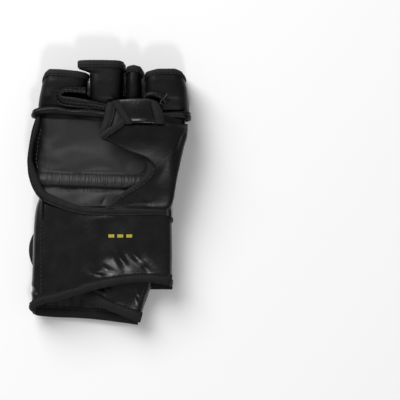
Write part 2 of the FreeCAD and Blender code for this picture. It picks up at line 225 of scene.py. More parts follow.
def creased(grid, normal, *folds):
    """A grid with several folds, each given as crease's start, end, width and depth."""
    for start, end, width, depth in folds:
        grid = crease(grid, normal, start, end, width, depth)
    return grid


# ---------------------------------------------------------------- pieces

def grid_faces(rows, columns, round_across=False, round_along=False):
    """The four-cornered faces of a grid of points, joined to its start where it goes round."""
    faces = []
    for row in range(rows if round_along else rows - 1):
        here = row * columns
        there = (row + 1) % rows * columns
        for column in range(columns if round_across else columns - 1):
            beside = (column + 1) % columns
            faces.append((here + column, here + beside, there + beside, there + column))
    return faces


def laid_flat(along, across):
    """Where a grid's points lie on the flat cloth, from a line along it and one across it."""
    return [(down, side) for down in travel_along(along) for side in travel_along(across)]


class Piece:
    """The mesh of one piece, gathered from surfaces, tapes and stitches."""

    def __init__(self, name, *materials):
        self.name = name
        self.materials = materials
        self.points = []
        self.faces = []
        self.uvs = []
        self.kinds = []

    def add(self, points, faces, uvs, kind=0):
        """Add a patch whose faces use the material of that number."""
        first = len(self.points)
        self.points.extend(points)
        self.uvs.extend(uvs)
        self.faces.extend([tuple(first + corner for corner in face) for face in faces])
        self.kinds.extend([kind] * len(faces))

    def sheet(self, grid, thickness, closed=False):
        """A sheet of that thickness whose outer face is the grid."""
        rows, columns = grid.shape[:2]
        count = rows * columns
        uvs = laid_flat(grid[:, columns // 2], grid[rows // 2])
        below = grid - normals_of(grid, closed) * thickness
        points = np.concatenate([grid.reshape(-1, 3), below.reshape(-1, 3)])
        outer = grid_faces(rows, columns, closed)
        inner = [tuple(count + corner for corner in reversed(face)) for face in outer]
        width = columns if closed else columns - 1
        rim = [(column, (column + 1) % columns) for column in range(width)]
        last = (rows - 1) * columns
        rim += [(last + (column + 1) % columns, last + column) for column in range(width)]
        if not closed:
            rim += [((row + 1) * columns, row * columns) for row in range(rows - 1)]
            rim += [((row + 1) * columns - 1, (row + 2) * columns - 1) for row in range(rows - 1)]
        edges = [(second, first, count + first, count + second) for first, second in rim]
        self.add(points, outer + inner + edges, uvs + uvs)

    def tube(self, rings, kind=0, closed=False):
        """A solid through rings of points, its ends filled or, if closed, joined to each other."""
        rows, columns = rings.shape[:2]
        faces = grid_faces(rows, columns, True, closed)
        if not closed:
            faces.append(tuple(reversed(range(columns))))
            faces.append(tuple(range((rows - 1) * columns, rows * columns)))
        self.add(rings.reshape(-1, 3), faces, laid_flat(rings[:, 0], rings[rows // 2]), kind)

    def stitches(self, path, normal):
        """A row of thread along a path, each stitch dipping into the material at its ends."""
        path = np.asarray(path)
        travel = travel_along(path)
        normal = np.broadcast_to(normal, path.shape)

        def at(rows, spot):
            return np.array([np.interp(spot, travel, rows[:, axis]) for axis in range(3)])

        start = STITCH_GAP / 2
        while start + STITCH < travel[-1]:
            rings = []
            for part, size, lift in STITCH_RINGS:
                spot = start + part * STITCH
                up = at(normal, spot)
                side = np.cross(at(path, spot + SEAM_STEP) - at(path, spot - SEAM_STEP), up)
                side /= max(np.linalg.norm(side), TINY)
                centre = at(path, spot) + up * (lift * THREAD)
                rings.append([centre + THREAD * size * (math.cos(a) * side + math.sin(a) * up)
                              for a in around(THREAD_SIDES)])
            self.tube(np.array(rings), 1)
            start += STITCH + STITCH_GAP

    def make(self, slot):
        """The Blender object, in metres, smooth but for its real edges."""
        mesh = bpy.data.meshes.new(self.name)
        mesh.from_pydata([tuple(np.asarray(point) * MM) for point in self.points], [], self.faces)
        layer = mesh.uv_layers.new(name="cloth")
        for loop in mesh.loops:
            layer.data[loop.index].uv = np.asarray(self.uvs[loop.vertex_index]) * MM
        for material in self.materials:
            mesh.materials.append(material)
        mesh.polygons.foreach_set("material_index", self.kinds)
        mesh.update()
        mesh.shade_smooth()
        mesh.set_sharp_from_angle(angle=math.radians(SHARP_ANGLE))
        piece = bpy.data.objects.new("soft_" + self.name, mesh)
        bpy.context.scene.collection.objects.link(piece)
        return piece


# A folded binding tape in section: how far from its seam to its outer edge, and how high,
# from the seam over the top to the outer edge and back underneath.
TAPE_SECTION = [(0.0, 0.22), (0.03, 0.42), (0.10, 0.42), (0.17, 0.22), (0.24, 0.40), (0.42, 0.54),
                (0.66, 0.52), (0.86, 0.38), (0.97, 0.16), (1.0, -0.04), (0.95, -0.26), (0.80, -0.42),
                (0.5, -0.5), (0.18, -0.46), (0.02, -0.36)]
STITCH_ROW = 0.17
STITCH_HEIGHT = 0.26


def tape_rings(outer, seam, thickness, lump, rough, seed, up=(0, 0, 1)):
    """Lumpy rings of a folded tape between its outer edge and its seam, and its stitch line."""
    count = max(int(length_of(outer) / STEP), 5)
    edge = spline(outer, count)
    inside = spline(seam, count)
    across = edge - inside
    run = np.gradient((edge + inside) / 2, axis=0)
    normal = np.cross(run, across)
    normal /= np.maximum(np.linalg.norm(normal, axis=1, keepdims=True), TINY)
    if np.dot(normal[count // 2], up) < 0:
        normal = -normal
    rings = np.stack([inside + a * across + b * thickness * normal for a, b in TAPE_SECTION], axis=1)
    lifted = np.repeat(normal[:, None], rings.shape[1], axis=1)
    line = inside + STITCH_ROW * across + STITCH_HEIGHT * thickness * normal
    return rumple(rings, lifted, lump, rough, seed), line, normal


def taped_edge(name, material, shape):
    """One folded tape with its row of stitches along the seam."""
    rings, line, normal = shape
    piece = Piece(name, MATERIALS[material], MATERIALS["thread"])
    piece.tube(rings)
    piece.stitches(line, normal)
    return piece


def binding(name, outer, seam, thickness, up=(0, 0, 1), rough=0.25, seed=3.0):
    """A binding of folded tape, as a finished object."""
    shape = tape_rings(outer, seam, thickness, 7.0, rough, seed, up)
    return taped_edge(name, "tape", shape).make("edge_binding")


def place(piece, body, *nodes):
    """Let a piece ride on a body and stand for those CAD nodes."""
    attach(piece, body)
    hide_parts(*nodes)
    return piece


def bound_edge(name, body, *shape, **looks):
    """A binding that rides on a body and stands for the CAD node of its own name."""
    place(binding(name, *shape, **looks), body, name)


def across_joint(piece, node, body, start, end, anchor="hand"):
    """Let a piece stand for a CAD node, with its place baked into its mesh; the body, the two points and the
    anchor are not used.
    """
    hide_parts(node)
    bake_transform(piece)


def cut_sheet(piece, held, *grids, closed=False, rests_on=()):
    """Measure the flat size and area along the grids' own surfaces; the results are not kept, and the piece
    is not used.
    """
    width = length = area = 0.0
    for grid in grids:
        joined = np.concatenate([grid, grid[:, :1]], axis=1) if closed else grid
        along = np.linalg.norm(np.diff(joined, axis=0), axis=2)
        across = np.linalg.norm(np.diff(joined, axis=1), axis=2)
        length = max(length, float(along.sum(axis=0).max()))
        width += float(across.sum(axis=1).max())
        sides = np.cross(joined[1:, :-1] - joined[:-1, :-1], joined[:-1, 1:] - joined[:-1, :-1])
        area += float(np.linalg.norm(sides, axis=2).sum())


def leather_sheet(name, grid, held, body="hand", material="leather", rests_on=()):
    """A plain leather panel that rides on a body and stands for the CAD node of its own name."""
    piece = Piece(name, MATERIALS[material])
    piece.sheet(grid, LEATHER)
    cut_sheet(place(piece.make("outer_leather"), body, name), held, grid, rests_on=rests_on)


# ---------------------------------------------------------------- materials

# Nearly all values of a noise texture lie between these.
NOISE_LOW = 0.3
NOISE_HIGH = 0.7


def node(tree, kind, **settings):
    """A shader node with some of its own settings."""
    made = tree.nodes.new(kind)
    for name, value in settings.items():
        setattr(made, name, value)
    return made


def new_material(name, colour, roughness, **sockets):
    """A principled material and its tree, shader and object coordinates."""
    material = bpy.data.materials.new(name)
    material.use_nodes = True
    tree = material.node_tree
    shader = tree.nodes["Principled BSDF"]
    shader.inputs["Base Color"].default_value = (*colour, 1)
    shader.inputs["Roughness"].default_value = roughness
    for socket, value in sockets.items():
        shader.inputs[socket.replace("_", " ")].default_value = value
    material.diffuse_color = (*colour, 1)
    place_in = node(tree, "ShaderNodeTexCoord")
    return material, tree, shader, place_in


def noise_texture(tree, source, scale, detail=3.0, roughness=0.55):
    """A noise texture in metres of the object."""
    texture = node(tree, "ShaderNodeTexNoise")
    texture.inputs["Scale"].default_value = scale
    texture.inputs["Detail"].default_value = detail
    texture.inputs["Roughness"].default_value = roughness
    tree.links.new(source, texture.inputs["Vector"])
    return texture.outputs["Fac"]


def remap(tree, source, low_value, high_value):
    """A noise texture's value spread over another range."""
    mapped = node(tree, "ShaderNodeMapRange")
    mapped.inputs["From Min"].default_value = NOISE_LOW
    mapped.inputs["From Max"].default_value = NOISE_HIGH
    mapped.inputs["To Min"].default_value = low_value
    mapped.inputs["To Max"].default_value = high_value
    tree.links.new(source, mapped.inputs["Value"])
    return mapped.outputs["Result"]


def colour_between(tree, source, dark, light):
    """A colour that drifts between two with a value."""
    blend = node(tree, "ShaderNodeValToRGB")
    blend.color_ramp.elements[0].position = NOISE_LOW
    blend.color_ramp.elements[0].color = (*dark, 1)
    blend.color_ramp.elements[1].position = NOISE_HIGH
    blend.color_ramp.elements[1].color = (*light, 1)
    tree.links.new(source, blend.inputs["Fac"])
    return blend.outputs["Color"]


def relief(tree, shader, heights):
    """Chain bumps of (height, distance in metres, strength) into the shader's normal."""
    last = None
    for height, distance, strength in heights:
        lift = node(tree, "ShaderNodeBump")
        lift.inputs["Distance"].default_value = distance
        lift.inputs["Strength"].default_value = strength
        tree.links.new(height, lift.inputs["Height"])
        if last is not None:
            tree.links.new(last, lift.inputs["Normal"])
        last = lift.outputs["Normal"]
    tree.links.new(last, shader.inputs["Normal"])


def calculate(tree, operation, *values):
    """The result of an operation on numbers and other nodes' values."""
    step = node(tree, "ShaderNodeMath", operation=operation)
    for socket, value in zip(step.inputs, values):
        if isinstance(value, (int, float)):
            socket.default_value = value
        else:
            tree.links.new(value, socket)
    return step.outputs[0]


def cell_texture(tree, place_in, scale, **settings):
    """Cells in metres of the object, as the distance inside each."""
    cells = node(tree, "ShaderNodeTexVoronoi", **settings)
    cells.inputs["Scale"].default_value = scale
    tree.links.new(place_in.outputs["Object"], cells.inputs["Vector"])
    return cells.outputs["Distance"]


def leather_material(name, smooth, rough, shine):
    """Black coated leather: fine pebbled grain, faint creasing and an uneven satin gloss."""
    material, tree, shader, place_in = new_material(
        name, (0.0085, 0.009, 0.0088), (smooth + rough) / 2, Specular_IOR_Level=shine)
    where = place_in.outputs["Object"]
    drift = noise_texture(tree, where, 38, 4)
    tree.links.new(colour_between(tree, drift, (0.0020, 0.0022, 0.0021), (0.0044, 0.0048, 0.0046)),
                   shader.inputs["Base Color"])
    gloss = remap(tree, noise_texture(tree, where, 75, 5), smooth, rough)
    tree.links.new(gloss, shader.inputs["Roughness"])
    relief(tree, shader, [
        (cell_texture(tree, place_in, 1150, feature="DISTANCE_TO_EDGE"), 0.00022, 0.35),
        (noise_texture(tree, where, 420, 4), 0.00025, 0.4),
        (noise_texture(tree, where, 110, 3), 0.0006, 0.22)])
    return material


def woven_material(name, dark, light, roughness, pitch, depth, **sockets):
    """Cloth woven over and under at that pitch in millimetres, from the cloth's own directions."""
    material, tree, shader, place_in = new_material(name, light, roughness, **sockets)
    split = node(tree, "ShaderNodeSeparateXYZ")
    tree.links.new(place_in.outputs["UV"], split.inputs["Vector"])
    waves = []
    for axis in ("X", "Y"):
        turn = calculate(tree, "MULTIPLY", split.outputs[axis], 2 * math.pi / (pitch * MM))
        waves.append(calculate(tree, "SINE", turn))
    weave = calculate(tree, "MULTIPLY_ADD", calculate(tree, "MULTIPLY", *waves), 0.5, 0.5)
    where = place_in.outputs["Object"]
    drift = calculate(tree, "MULTIPLY", noise_texture(tree, where, 160, 4), 0.65)
    shade = calculate(tree, "MULTIPLY_ADD", weave, 0.35, drift)
    tree.links.new(colour_between(tree, shade, dark, light), shader.inputs["Base Color"])
    relief(tree, shader, [(weave, depth * MM, 0.6), (noise_texture(tree, where, 1800, 3), 0.00012, 0.5),
                          (noise_texture(tree, where, 240, 3), 0.0004, 0.3)])
    return material


def foam_material():
    """Closed-cell foam with a fine skin of cells."""
    material, tree, shader, place_in = new_material("grey_foam", (0.05, 0.05, 0.052), 0.9)
    cells = cell_texture(tree, place_in, 1600)
    shade = colour_between(tree, cells, (0.035, 0.035, 0.036), (0.06, 0.06, 0.062))
    tree.links.new(shade, shader.inputs["Base Color"])
    relief(tree, shader, [(cells, 0.0004, 0.7)])
    return material


def pile_material(name, scale, depth, colour):
    """The tufted face of hook or loop tape."""
    material, tree, shader, place_in = new_material(name, colour, 0.85, Sheen_Weight=0.2)
    tufts = cell_texture(tree, place_in, scale)
    darker = tuple(value * 0.4 for value in colour)
    tree.links.new(colour_between(tree, tufts, colour, darker), shader.inputs["Base Color"])
    fuzz = noise_texture(tree, place_in.outputs["Object"], scale * 2, 4)
    relief(tree, shader, [(tufts, depth, 1.0), (fuzz, depth, 0.5)])
    return material


def thread_material(name, level):
    """Twisted bonded thread."""
    material, tree, shader, place_in = new_material(name, (level, level, level * 1.03), 0.55)
    twist = node(tree, "ShaderNodeTexWave", bands_direction="DIAGONAL")
    twist.inputs["Scale"].default_value = 900
    tree.links.new(place_in.outputs["Object"], twist.inputs["Vector"])
    relief(tree, shader, [(twist.outputs["Fac"], 0.0001, 0.6)])
    return material


def film_material():
    """A matte yellow transfer print, slightly worn."""
    material, tree, shader, place_in = new_material("yellow_film", (0.62, 0.50, 0.02), 0.6)
    wear = noise_texture(tree, place_in.outputs["Object"], 900, 5, 0.7)
    shade = colour_between(tree, wear, (0.24, 0.19, 0.012), (0.52, 0.42, 0.02))
    tree.links.new(shade, shader.inputs["Base Color"])
    relief(tree, shader, [(wear, 0.0001, 0.4)])
    return material


MATERIALS = {
    "leather": leather_material("black_leather", 0.36, 0.45, 0.2),
    "shiny": leather_material("glossy_black_leather", 0.2, 0.3, 0.38),
    "sheen": leather_material("satin_black_leather", 0.28, 0.38, 0.26),
    "tape": woven_material("black_binding", (0.0065, 0.0066, 0.0068), (0.0130, 0.0132, 0.0134), 0.7,
                           0.95, 0.16, Specular_IOR_Level=0.2),
    "satin": woven_material("charcoal_satin", (0.0098, 0.0092, 0.0098), (0.0168, 0.0157, 0.0168), 0.55,
                            0.55, 0.05, Sheen_Weight=0.08, Sheen_Roughness=0.35, Specular_IOR_Level=0.4),
    # The palm's charcoal satin made darker: painted shade for the cuff's lining, which lies in the strap's
    # shadow.
    "shade_darkened_satin": woven_material("satin_darkened_for_shade", (0.0032, 0.0031, 0.0032), (0.0062, 0.0060, 0.0062), 0.62,
                                 0.55, 0.05, Sheen_Weight=0.05, Specular_IOR_Level=0.3),
    "foam": foam_material(),
    "hook": pile_material("hook_face", 900, 0.0008, (0.02, 0.02, 0.02)),
    "loop": pile_material("loop_face", 1400, 0.0005, (0.016, 0.016, 0.017)),
    "thread": thread_material("black_thread", 0.016),
    "pale_thread": thread_material("pale_thread", 0.16),
    "film": film_material(),
}


# A surface's height is read off its nearest few points above ON_TOP, the nearer the weightier.
# The last value keeps a point straight below from having all the weight.
ON_TOP = 15.0
NEAREST = 4
NEAREST_SQUARE = 0.02


def on_surface(grid, places, lift=0.0):
    """Points of a surface straight above those x and y, raised a little."""
    flat = grid.reshape(-1, 3)
    upper = flat[flat[:, 2] > ON_TOP]
    out = []
    for x, y in places:
        far = (upper[:, 0] - x) ** 2 + (upper[:, 1] - y) ** 2
        nearest = np.argsort(far)[:NEAREST]
        weight = 1 / (far[nearest] + NEAREST_SQUARE)
        out.append((x, y, float((upper[nearest, 2] * weight).sum() / weight.sum()) + lift))
    return np.array(out)


# ---------------------------------------------------------------- the hand

# The outer edge of the glove on each side, from the wrist to the fingers, seen from above.
PINKY_SIDE = [(-24, -60.5), (-14, -59.5), (-4, -60.5), (4, -65), (14, -68), (28, -69.3), (45, -67.4),
              (61, -63.8), (74, -62.5), (86, -61)]
THUMB_SIDE = [(-24, 51), (-14, 52.5), (-4, 56.4), (11, 58.3), (25, 61), (37, 63.4), (48, 66.4),
              (57, 68.6), (68, 69), (86, 68.5)]
# How far the shell's pinky side tucks in under the little finger's sleeve.
SHELL_TUCK = 2.4
# The quilting lines across and along the knuckles, seen from above.
QUILTING = [((-64, 62), (66, 60)), ((-66, 24), (58, 20)), ((-20, 60), (-16, 86)), ((13, 60), (14, 86)),
            ((29, 60), (30, 86))]
# How wide and how deep their grooves are, and the rows of stitches: at what y, and how far they bow.
QUILT_GROOVE = (1.6, -1.8)
BACK_STITCHES = [(64.5, -1), (26.5, -2)]
# The y of each row of points that the shell is lofted through.
SHELL_ROWS = (-22, -12, -4, 6, 16, 28, 40, 52, 64, 76, 85)


def hand_shell():
    """The leather back of the hand and both side walls, quilted across the knuckles."""
    curves = []
    for y in SHELL_ROWS:
        left = read_off(PINKY_SIDE, y) + SHELL_TUCK * float(ramp(y, 70, 80))
        right = read_off(THUMB_SIDE, y)
        wall = [(left + 2.6, 29), (left + 0.8, 24), (left, 17), (left + 1.6, 9), (left + 8, 3),
                (left + 24, 0.9), ((left + right) / 2, 0.7), (right - 26, 0.9), (right - 12, 3),
                (right - 5, 9), (right - 2.6, 17), (right - 2.2, 23), (right - 3.4, 27.4)]
        curves.append([(x, y, z) for x, z in wall])
    grid = loft(curves, 1.8)
    normal = normals_of(grid)
    grid = rumple(grid, normal, 26, 0.9, 4.1)
    grid = rumple(grid, normal, 8, 0.3, 8.7)
    grid = creased(grid, normal, *((start, end, *QUILT_GROOVE) for start, end in QUILTING))
    piece = Piece("back_shell", MATERIALS["leather"], MATERIALS["thread"])
    piece.sheet(grid, LEATHER)
    for y, bend in BACK_STITCHES:
        line = [(x, y + bend * (x / 70) ** 2, 0.55) for x in np.linspace(-46, 46, 60)]
        piece.stitches(line, (0, 0, -1))
    shell = place(piece.make("outer_leather"), "hand", "back_shell", "pinky_side_panel", "thumb_side_panel")
    cut_sheet(shell, "stretched", grid)


def rounded_pad(name, centre, half, power, seed):
    """A soft foam pad, fuller in the middle, inside that box."""
    rings = []
    for share in np.linspace(-1, 1, PAD_RINGS):
        size = max(1 - abs(share) ** 5, 0.02) ** 0.5
        ring = []
        for angle in around(PAD_ROUND):
            across, height = rounded(angle, power)
            ring.append((centre[0] + half[0] * size * across, centre[1] + half[1] * share,
                         centre[2] + half[2] * size * height))
        rings.append(ring)
    rings = np.array(rings)
    rings = rumple(rings, normals_of(rings, True), 14, 0.5, seed)
    piece = Piece(name, MATERIALS["foam"])
    piece.tube(rings)
    return piece.make("foam_padding")


def back_foam():
    """The foam slab between the back of the hand and the lining."""
    corner, top = low("back_foam"), high("back_foam")
    middle = (corner + top) / 2
    half = (top - corner) / 2
    pad = rounded_pad("back_foam", middle + (0, 0, 0.4), half * (0.86, 0.95, 0.8), 4, 2.2)
    place(pad, "hand", "back_foam")


# Where the lining is sewn down on both sides of the gathered channel, in y near the middle, and
# how far each way of that line it is held.
CHANNEL_TOP = 16.0
CHANNEL_SEAM = 3.4
CHANNEL_SEWN = 0.8
# How high the lining lies at its edges and how far it rises inside them, with a swell below the
# palm bar: at what y, how far each way and how high.
LINING_EDGE = 15.5
LINING_RISE = 7.5
LINING_SWELL = (62, 10, 3.2)
# The puffed channel and the puff below it: at what y, how far each way, how high and how blunt.
LINING_PUFFS = [(9.5, 7.4, 5.6, 0.7), (-10.5, 14.5, 5.4, 0.6)]


def channel_level(x, y):
    """How far up the palm a point is, along the slightly leaning channel."""
    return y + 0.03 * (x + 20)


def lining_side(y):
    """Where the lining is sewn to the pinky side, just outside the free edge of the rim."""
    rim = np.array(RIM_EDGE)[::-1]
    return max(float(np.interp(y, rim[:, 1], rim[:, 0])) - 1.6, read_off(PINKY_SIDE, y) + 2.4)


def lining_height(x, y):
    """The height of the palm lining: falling at its edges, puffed at the channel and below it."""
    edge = min(max((x + 66) / 12, 0), 1) * min(max((72 - y) / 9, 0), 1)
    middle, reach, swell = LINING_SWELL
    height = LINING_EDGE + (LINING_RISE + swell * float(bump(y - middle, reach))) * math.sqrt(edge)
    for middle, reach, lift, blunt in LINING_PUFFS:
        height += lift * max(0, 1 - ((y - middle) / reach) ** 2) ** blunt
    return height


# The cloth simulation: how many frames the cloth is let settle, how far any point of it may move,
# in millimetres, how often that movement is evened out, and the cloth's own settings.
CLOTH_FRAMES = 20
CLOTH_REACH = 1.8
CLOTH_SMOOTHING = 8
CLOTH_SETTINGS = {"quality": 6, "mass": 0.15, "vertex_group_mass": "sewn", "use_pressure": True,
                  "uniform_pressure_force": 0.8, "shrink_min": -0.007, "bending_stiffness": 0.05}


def puffed(grid, held):
    """A grid as cloth cut a little too large, sewn down where held and blown up from below."""
    rows, columns = grid.shape[:2]
    faces = grid_faces(rows, columns)
    mesh = bpy.data.meshes.new("trial_cloth")
    mesh.from_pydata([tuple(point) for point in grid.reshape(-1, 3) * MM], [], faces)
    cloth = bpy.data.objects.new("trial_cloth", mesh)
    scene = bpy.context.scene
    scene.collection.objects.link(cloth)
    if normals_of(grid)[rows // 2, columns // 2, 2] * mesh.polygons[len(faces) // 2].normal.z < 0:
        mesh.flip_normals()
    sewn = cloth.vertex_groups.new(name="sewn")
    sewn.add([int(index) for index in np.flatnonzero(held.reshape(-1))], 1.0, "REPLACE")
    modifier = cloth.modifiers.new("cloth", "CLOTH")
    for setting, value in CLOTH_SETTINGS.items():
        setattr(modifier.settings, setting, value)
    modifier.settings.effector_weights.gravity = 0
    modifier.collision_settings.use_collision = False
    for step in range(1, CLOTH_FRAMES + 1):
        scene.frame_set(step)
    settled = cloth.evaluated_get(bpy.context.evaluated_depsgraph_get()).data
    after = np.array([vertex.co for vertex in settled.vertices]).reshape(rows, columns, 3) / MM
    bpy.data.objects.remove(cloth)
    scene.frame_set(1)
    moved = after - grid
    for _ in range(CLOTH_SMOOTHING):
        padded = np.pad(moved, ((1, 1), (1, 1), (0, 0)), "edge")
        beside = padded[2:, 1:-1] + padded[:-2, 1:-1] + padded[1:-1, 2:] + padded[1:-1, :-2]
        moved = np.where(held[..., None], moved, moved / 2 + beside / 8)
    far = np.linalg.norm(moved, axis=2, keepdims=True)
    return grid + moved * np.minimum(1, CLOTH_REACH / np.maximum(far, TINY))


def finer(grid, rows, columns):
    """The same surface with more points."""
    row_places = np.linspace(0, grid.shape[0] - 1, rows)
    column_places = np.linspace(0, grid.shape[1] - 1, columns)
    return catmull(catmull(grid, row_places).transpose(1, 0, 2), column_places).transpose(1, 0, 2)


# How many points the finished lining has down the palm and across it.
LINING_POINTS = (130, 240)
# The channel's sewn line and two short folds: where from, where to, how wide and how deep.
LINING_CREASES = [((-90, 6.1), (46, 0.7), 1.3, -2.4), ((-2, -2.8), (-7.7, -11.4), 1.2, -1.6),
                  ((-24, -6), (-18, -13), 1.4, 0.8)]


def palm_lining():
    """The gathered satin lining in the open palm, with its sewn channel."""
    rows = np.linspace(71, -20, 72)
    grid = np.array([[(x, y, lining_height(x, channel_level(x, y)))
                      for x in np.linspace(lining_side(y), 50, 84)] for y in rows])
    channel = channel_level(grid[..., 0], grid[..., 1])
    held = (abs(channel - CHANNEL_TOP) < CHANNEL_SEWN) | (abs(channel - CHANNEL_SEAM) < CHANNEL_SEWN)
    held[[0, -1]] = True
    held[:, [0, -1]] = True
    grid = finer(puffed(grid, held), *LINING_POINTS)
    normal = normals_of(grid)
    x, y = grid[..., 0], grid[..., 1]
    channel = channel_level(x, y)
    # Fine gathers along the channel, broader ones by the bar and slanting folds at the pinky side.
    fine = noise_over(x / 0.95, channel / 9, 3.1)
    coarse = noise_over(x / 5, channel / 22, 7.7)
    left = noise_over(x / 26, channel / 3.6 + x / 14, 1.3)
    near_channel = bump(channel - 9.6, 8)
    near_top = ramp(y, 46, 70)
    near_left = 1 - ramp(x, -66, -42)
    lift = 0.6 * fine * near_channel + 0.35 * coarse * near_top + 0.25 * left * near_left
    grid = grid + normal * lift[..., None]
    grid = rumple(grid, normal, 34, 0.25, 5.5)
    grid = creased(grid, normal, *LINING_CREASES)
    piece = Piece("palm_lining", MATERIALS["satin"], MATERIALS["pale_thread"])
    piece.sheet(grid, LINING)
    sewn = [(lining_side(y) + 2.9, y) for y in np.linspace(56, 21, 40)]
    piece.stitches(on_surface(grid, sewn, 0.15), (0, 0, 1))
    lining = place(piece.make("satin_lining"), "hand", "palm_lining")
    cut_sheet(lining, "gathered", grid, rests_on=["soft_back_foam"])


# The binding round the pinky side of the palm, carried on as the top binding of the strap:
# its sewn edge outside and below, its free edge towards the palm.
RIM_SEAM = [(-62.6, 66, 29), (-64.2, 61, 29.5), (-66.2, 54, 30), (-67.9, 45, 30), (-70, 30, 29.8),
            (-70, 22, 29.6), (-69, 13.8, 29), (-65.7, 4, 28.3), (-60.5, -4, 27.8), (-54, -8.5, 27.6),
            (-42.7, -13, 27.6), (-28.4, -17, 27.8), (-14, -19, 28), (16, -19.4, 28), (39, -18.8, 28),
            (48, -19.6, 27.3), (53.4, -21.6, 25)]
RIM_EDGE = [(-59, 64, 28), (-60, 58, 28.4), (-61.7, 50.6, 28.6), (-65, 39.6, 28.6), (-65.7, 29.3, 28.5),
            (-63.4, 20.7, 28.4), (-60, 11.6, 28.2), (-57.6, 5.8, 28), (-52.5, 0, 27.8),
            (-42.7, -4.5, 27.8), (-31.3, -9, 28), (-19.8, -11.4, 28.2), (-8.3, -12.5, 28.4),
            (18, -12.4, 28.4), (39, -12.3, 28.2), (48, -12.6, 27.4), (53, -13.6, 25)]


def palm_rim():
    """One tape from the palm bar down the pinky side and across the top of the wrist strap."""
    rim = binding("palm_rim_binding", RIM_EDGE, RIM_SEAM, 2.8, rough=0.4, seed=2.4)
    place(rim, "hand", "pinky_edge_binding", "strap_top_binding")


def palm_bar():
    """The bound bar across the palm below the fingers."""
    seam = [(-61.6, 70, 10), (-64, 70, 17), (-65, 70, 25), (-63, 71.8, 29.5), (-58, 74, 31.5),
            (-46, 75, 32), (-33, 72.4, 32.2), (-17.5, 72.3, 32.2), (-2.6, 70.4, 32.2), (22, 69.6, 32),
            (49.3, 69.6, 32), (60, 70, 31.8), (66.6, 70, 30.4), (69, 69.4, 26), (68.2, 69.4, 18),
            (65, 69.4, 10)]
    edge = [(-63, 64.5, 10), (-65.4, 64.5, 17), (-66, 64.6, 25), (-64, 65.8, 29), (-60.5, 67.3, 30.6),
            (-46, 67.2, 31), (-33, 66.3, 31), (-14, 65, 31), (-3.8, 64, 31), (22, 63.8, 31),
            (49.3, 63.8, 31), (60, 63.8, 30.6), (66.6, 62.8, 29.4), (69.4, 62, 25.5), (68.4, 62, 18),
            (65.2, 62, 10)]
    bar = taped_edge("palm_bar", "leather", tape_rings(edge, seam, 3.6, 9, 0.45, 6.2))
    place(bar.make("outer_leather"), "hand", "palm_bar")


def loose_thread(piece, path):
    """A thin pale end of thread left untrimmed."""
    section = THREAD * np.array([(math.cos(a), 0.4 * math.cos(a), math.sin(a)) for a in around(THREAD_SIDES)])
    piece.materials += (MATERIALS["pale_thread"],)
    piece.tube(spline(path, 24)[:, None] + section, 2)


def web(name, node, body, seam, edge, thickness, rows, thread_end=()):
    """The bound lip between two finger holes, with wavy rows of stitches along it."""
    rings, line, normal = tape_rings(edge, seam, thickness, 6, 0.5, 1.7)
    piece = Piece(name, MATERIALS["leather"], MATERIALS["thread"])
    piece.tube(rings)
    across = spline(edge, len(line)) - spline(seam, len(line))
    wave = np.sin(np.linspace(0, 9, len(line)))[:, None] * 0.4
    for share in rows:
        path = line + across * (share - STITCH_ROW) + wave * (0, 1, 0) + normal * thickness * 0.2
        piece.stitches(path, normal)
    if thread_end:
        loose_thread(piece, thread_end)
    across_joint(piece.make("outer_leather"), node, body, *FINGER_FOLD)


def webs():
    """The three webs between the four finger holes."""
    web("web_little_ring", "divider_little_ring", "little_finger",
        [(-19.5, 90.8, 35.4), (-35, 90.3, 36.8), (-42, 88, 36.4), (-45.8, 84, 34.6), (-45, 79, 33.6),
         (-41, 75.3, 33.4), (-30, 73.6, 33.4), (-15, 72.6, 33.2), (-1, 70.8, 32)],
        [(-19.5, 84.4, 33.6), (-30, 85.6, 35.2), (-37, 85.9, 35.4), (-39.8, 84.7, 34.8),
         (-39.2, 83.4, 34.8), (-36, 82.7, 35.2), (-28, 81.6, 35.8), (-15, 79.2, 35.6),
         (-0.9, 76.6, 33.5)], 2.6, (0.15, 0.5, 0.8))
    web("web_ring_middle", "divider_ring_middle", "ring_finger",
        [(9, 71.5, 30), (13, 72, 31), (17, 71.5, 30)],
        [(9.5, 78, 30), (13.2, 76.5, 31), (16.5, 78, 30)], 2.6, (0.2,))
    web("web_middle_index", "divider_middle_index", "index_finger",
        [(30.4, 84.5, 34.6), (36, 87, 36.4), (43, 86.6, 36.6), (49, 83.5, 36), (53, 79, 34.6)],
        [(30.4, 79, 33.4), (36, 81.5, 35.4), (41, 81.4, 35.6), (44.5, 79.5, 35),
         (46.5, 76, 34)], 2.8, (0.15, 0.6),
        ((44.4, 76.6, 36.6), (46.2, 79.8, 37.6), (47.6, 80.6, 38.2), (50.6, 84.8, 38.4)))


# Small folds in the leather where it runs under the strap.
THENAR_CREASES = [((14, -7), (19, -14), 1.6, 0.8), ((21, -6), (27, -14), 1.8, 0.9),
                  ((30, -6), (36, -14), 1.8, 0.9), ((58, 60), (69, 53), 1.5, 0.5),
                  ((60, 56), (69, 48), 1.4, 0.4)]


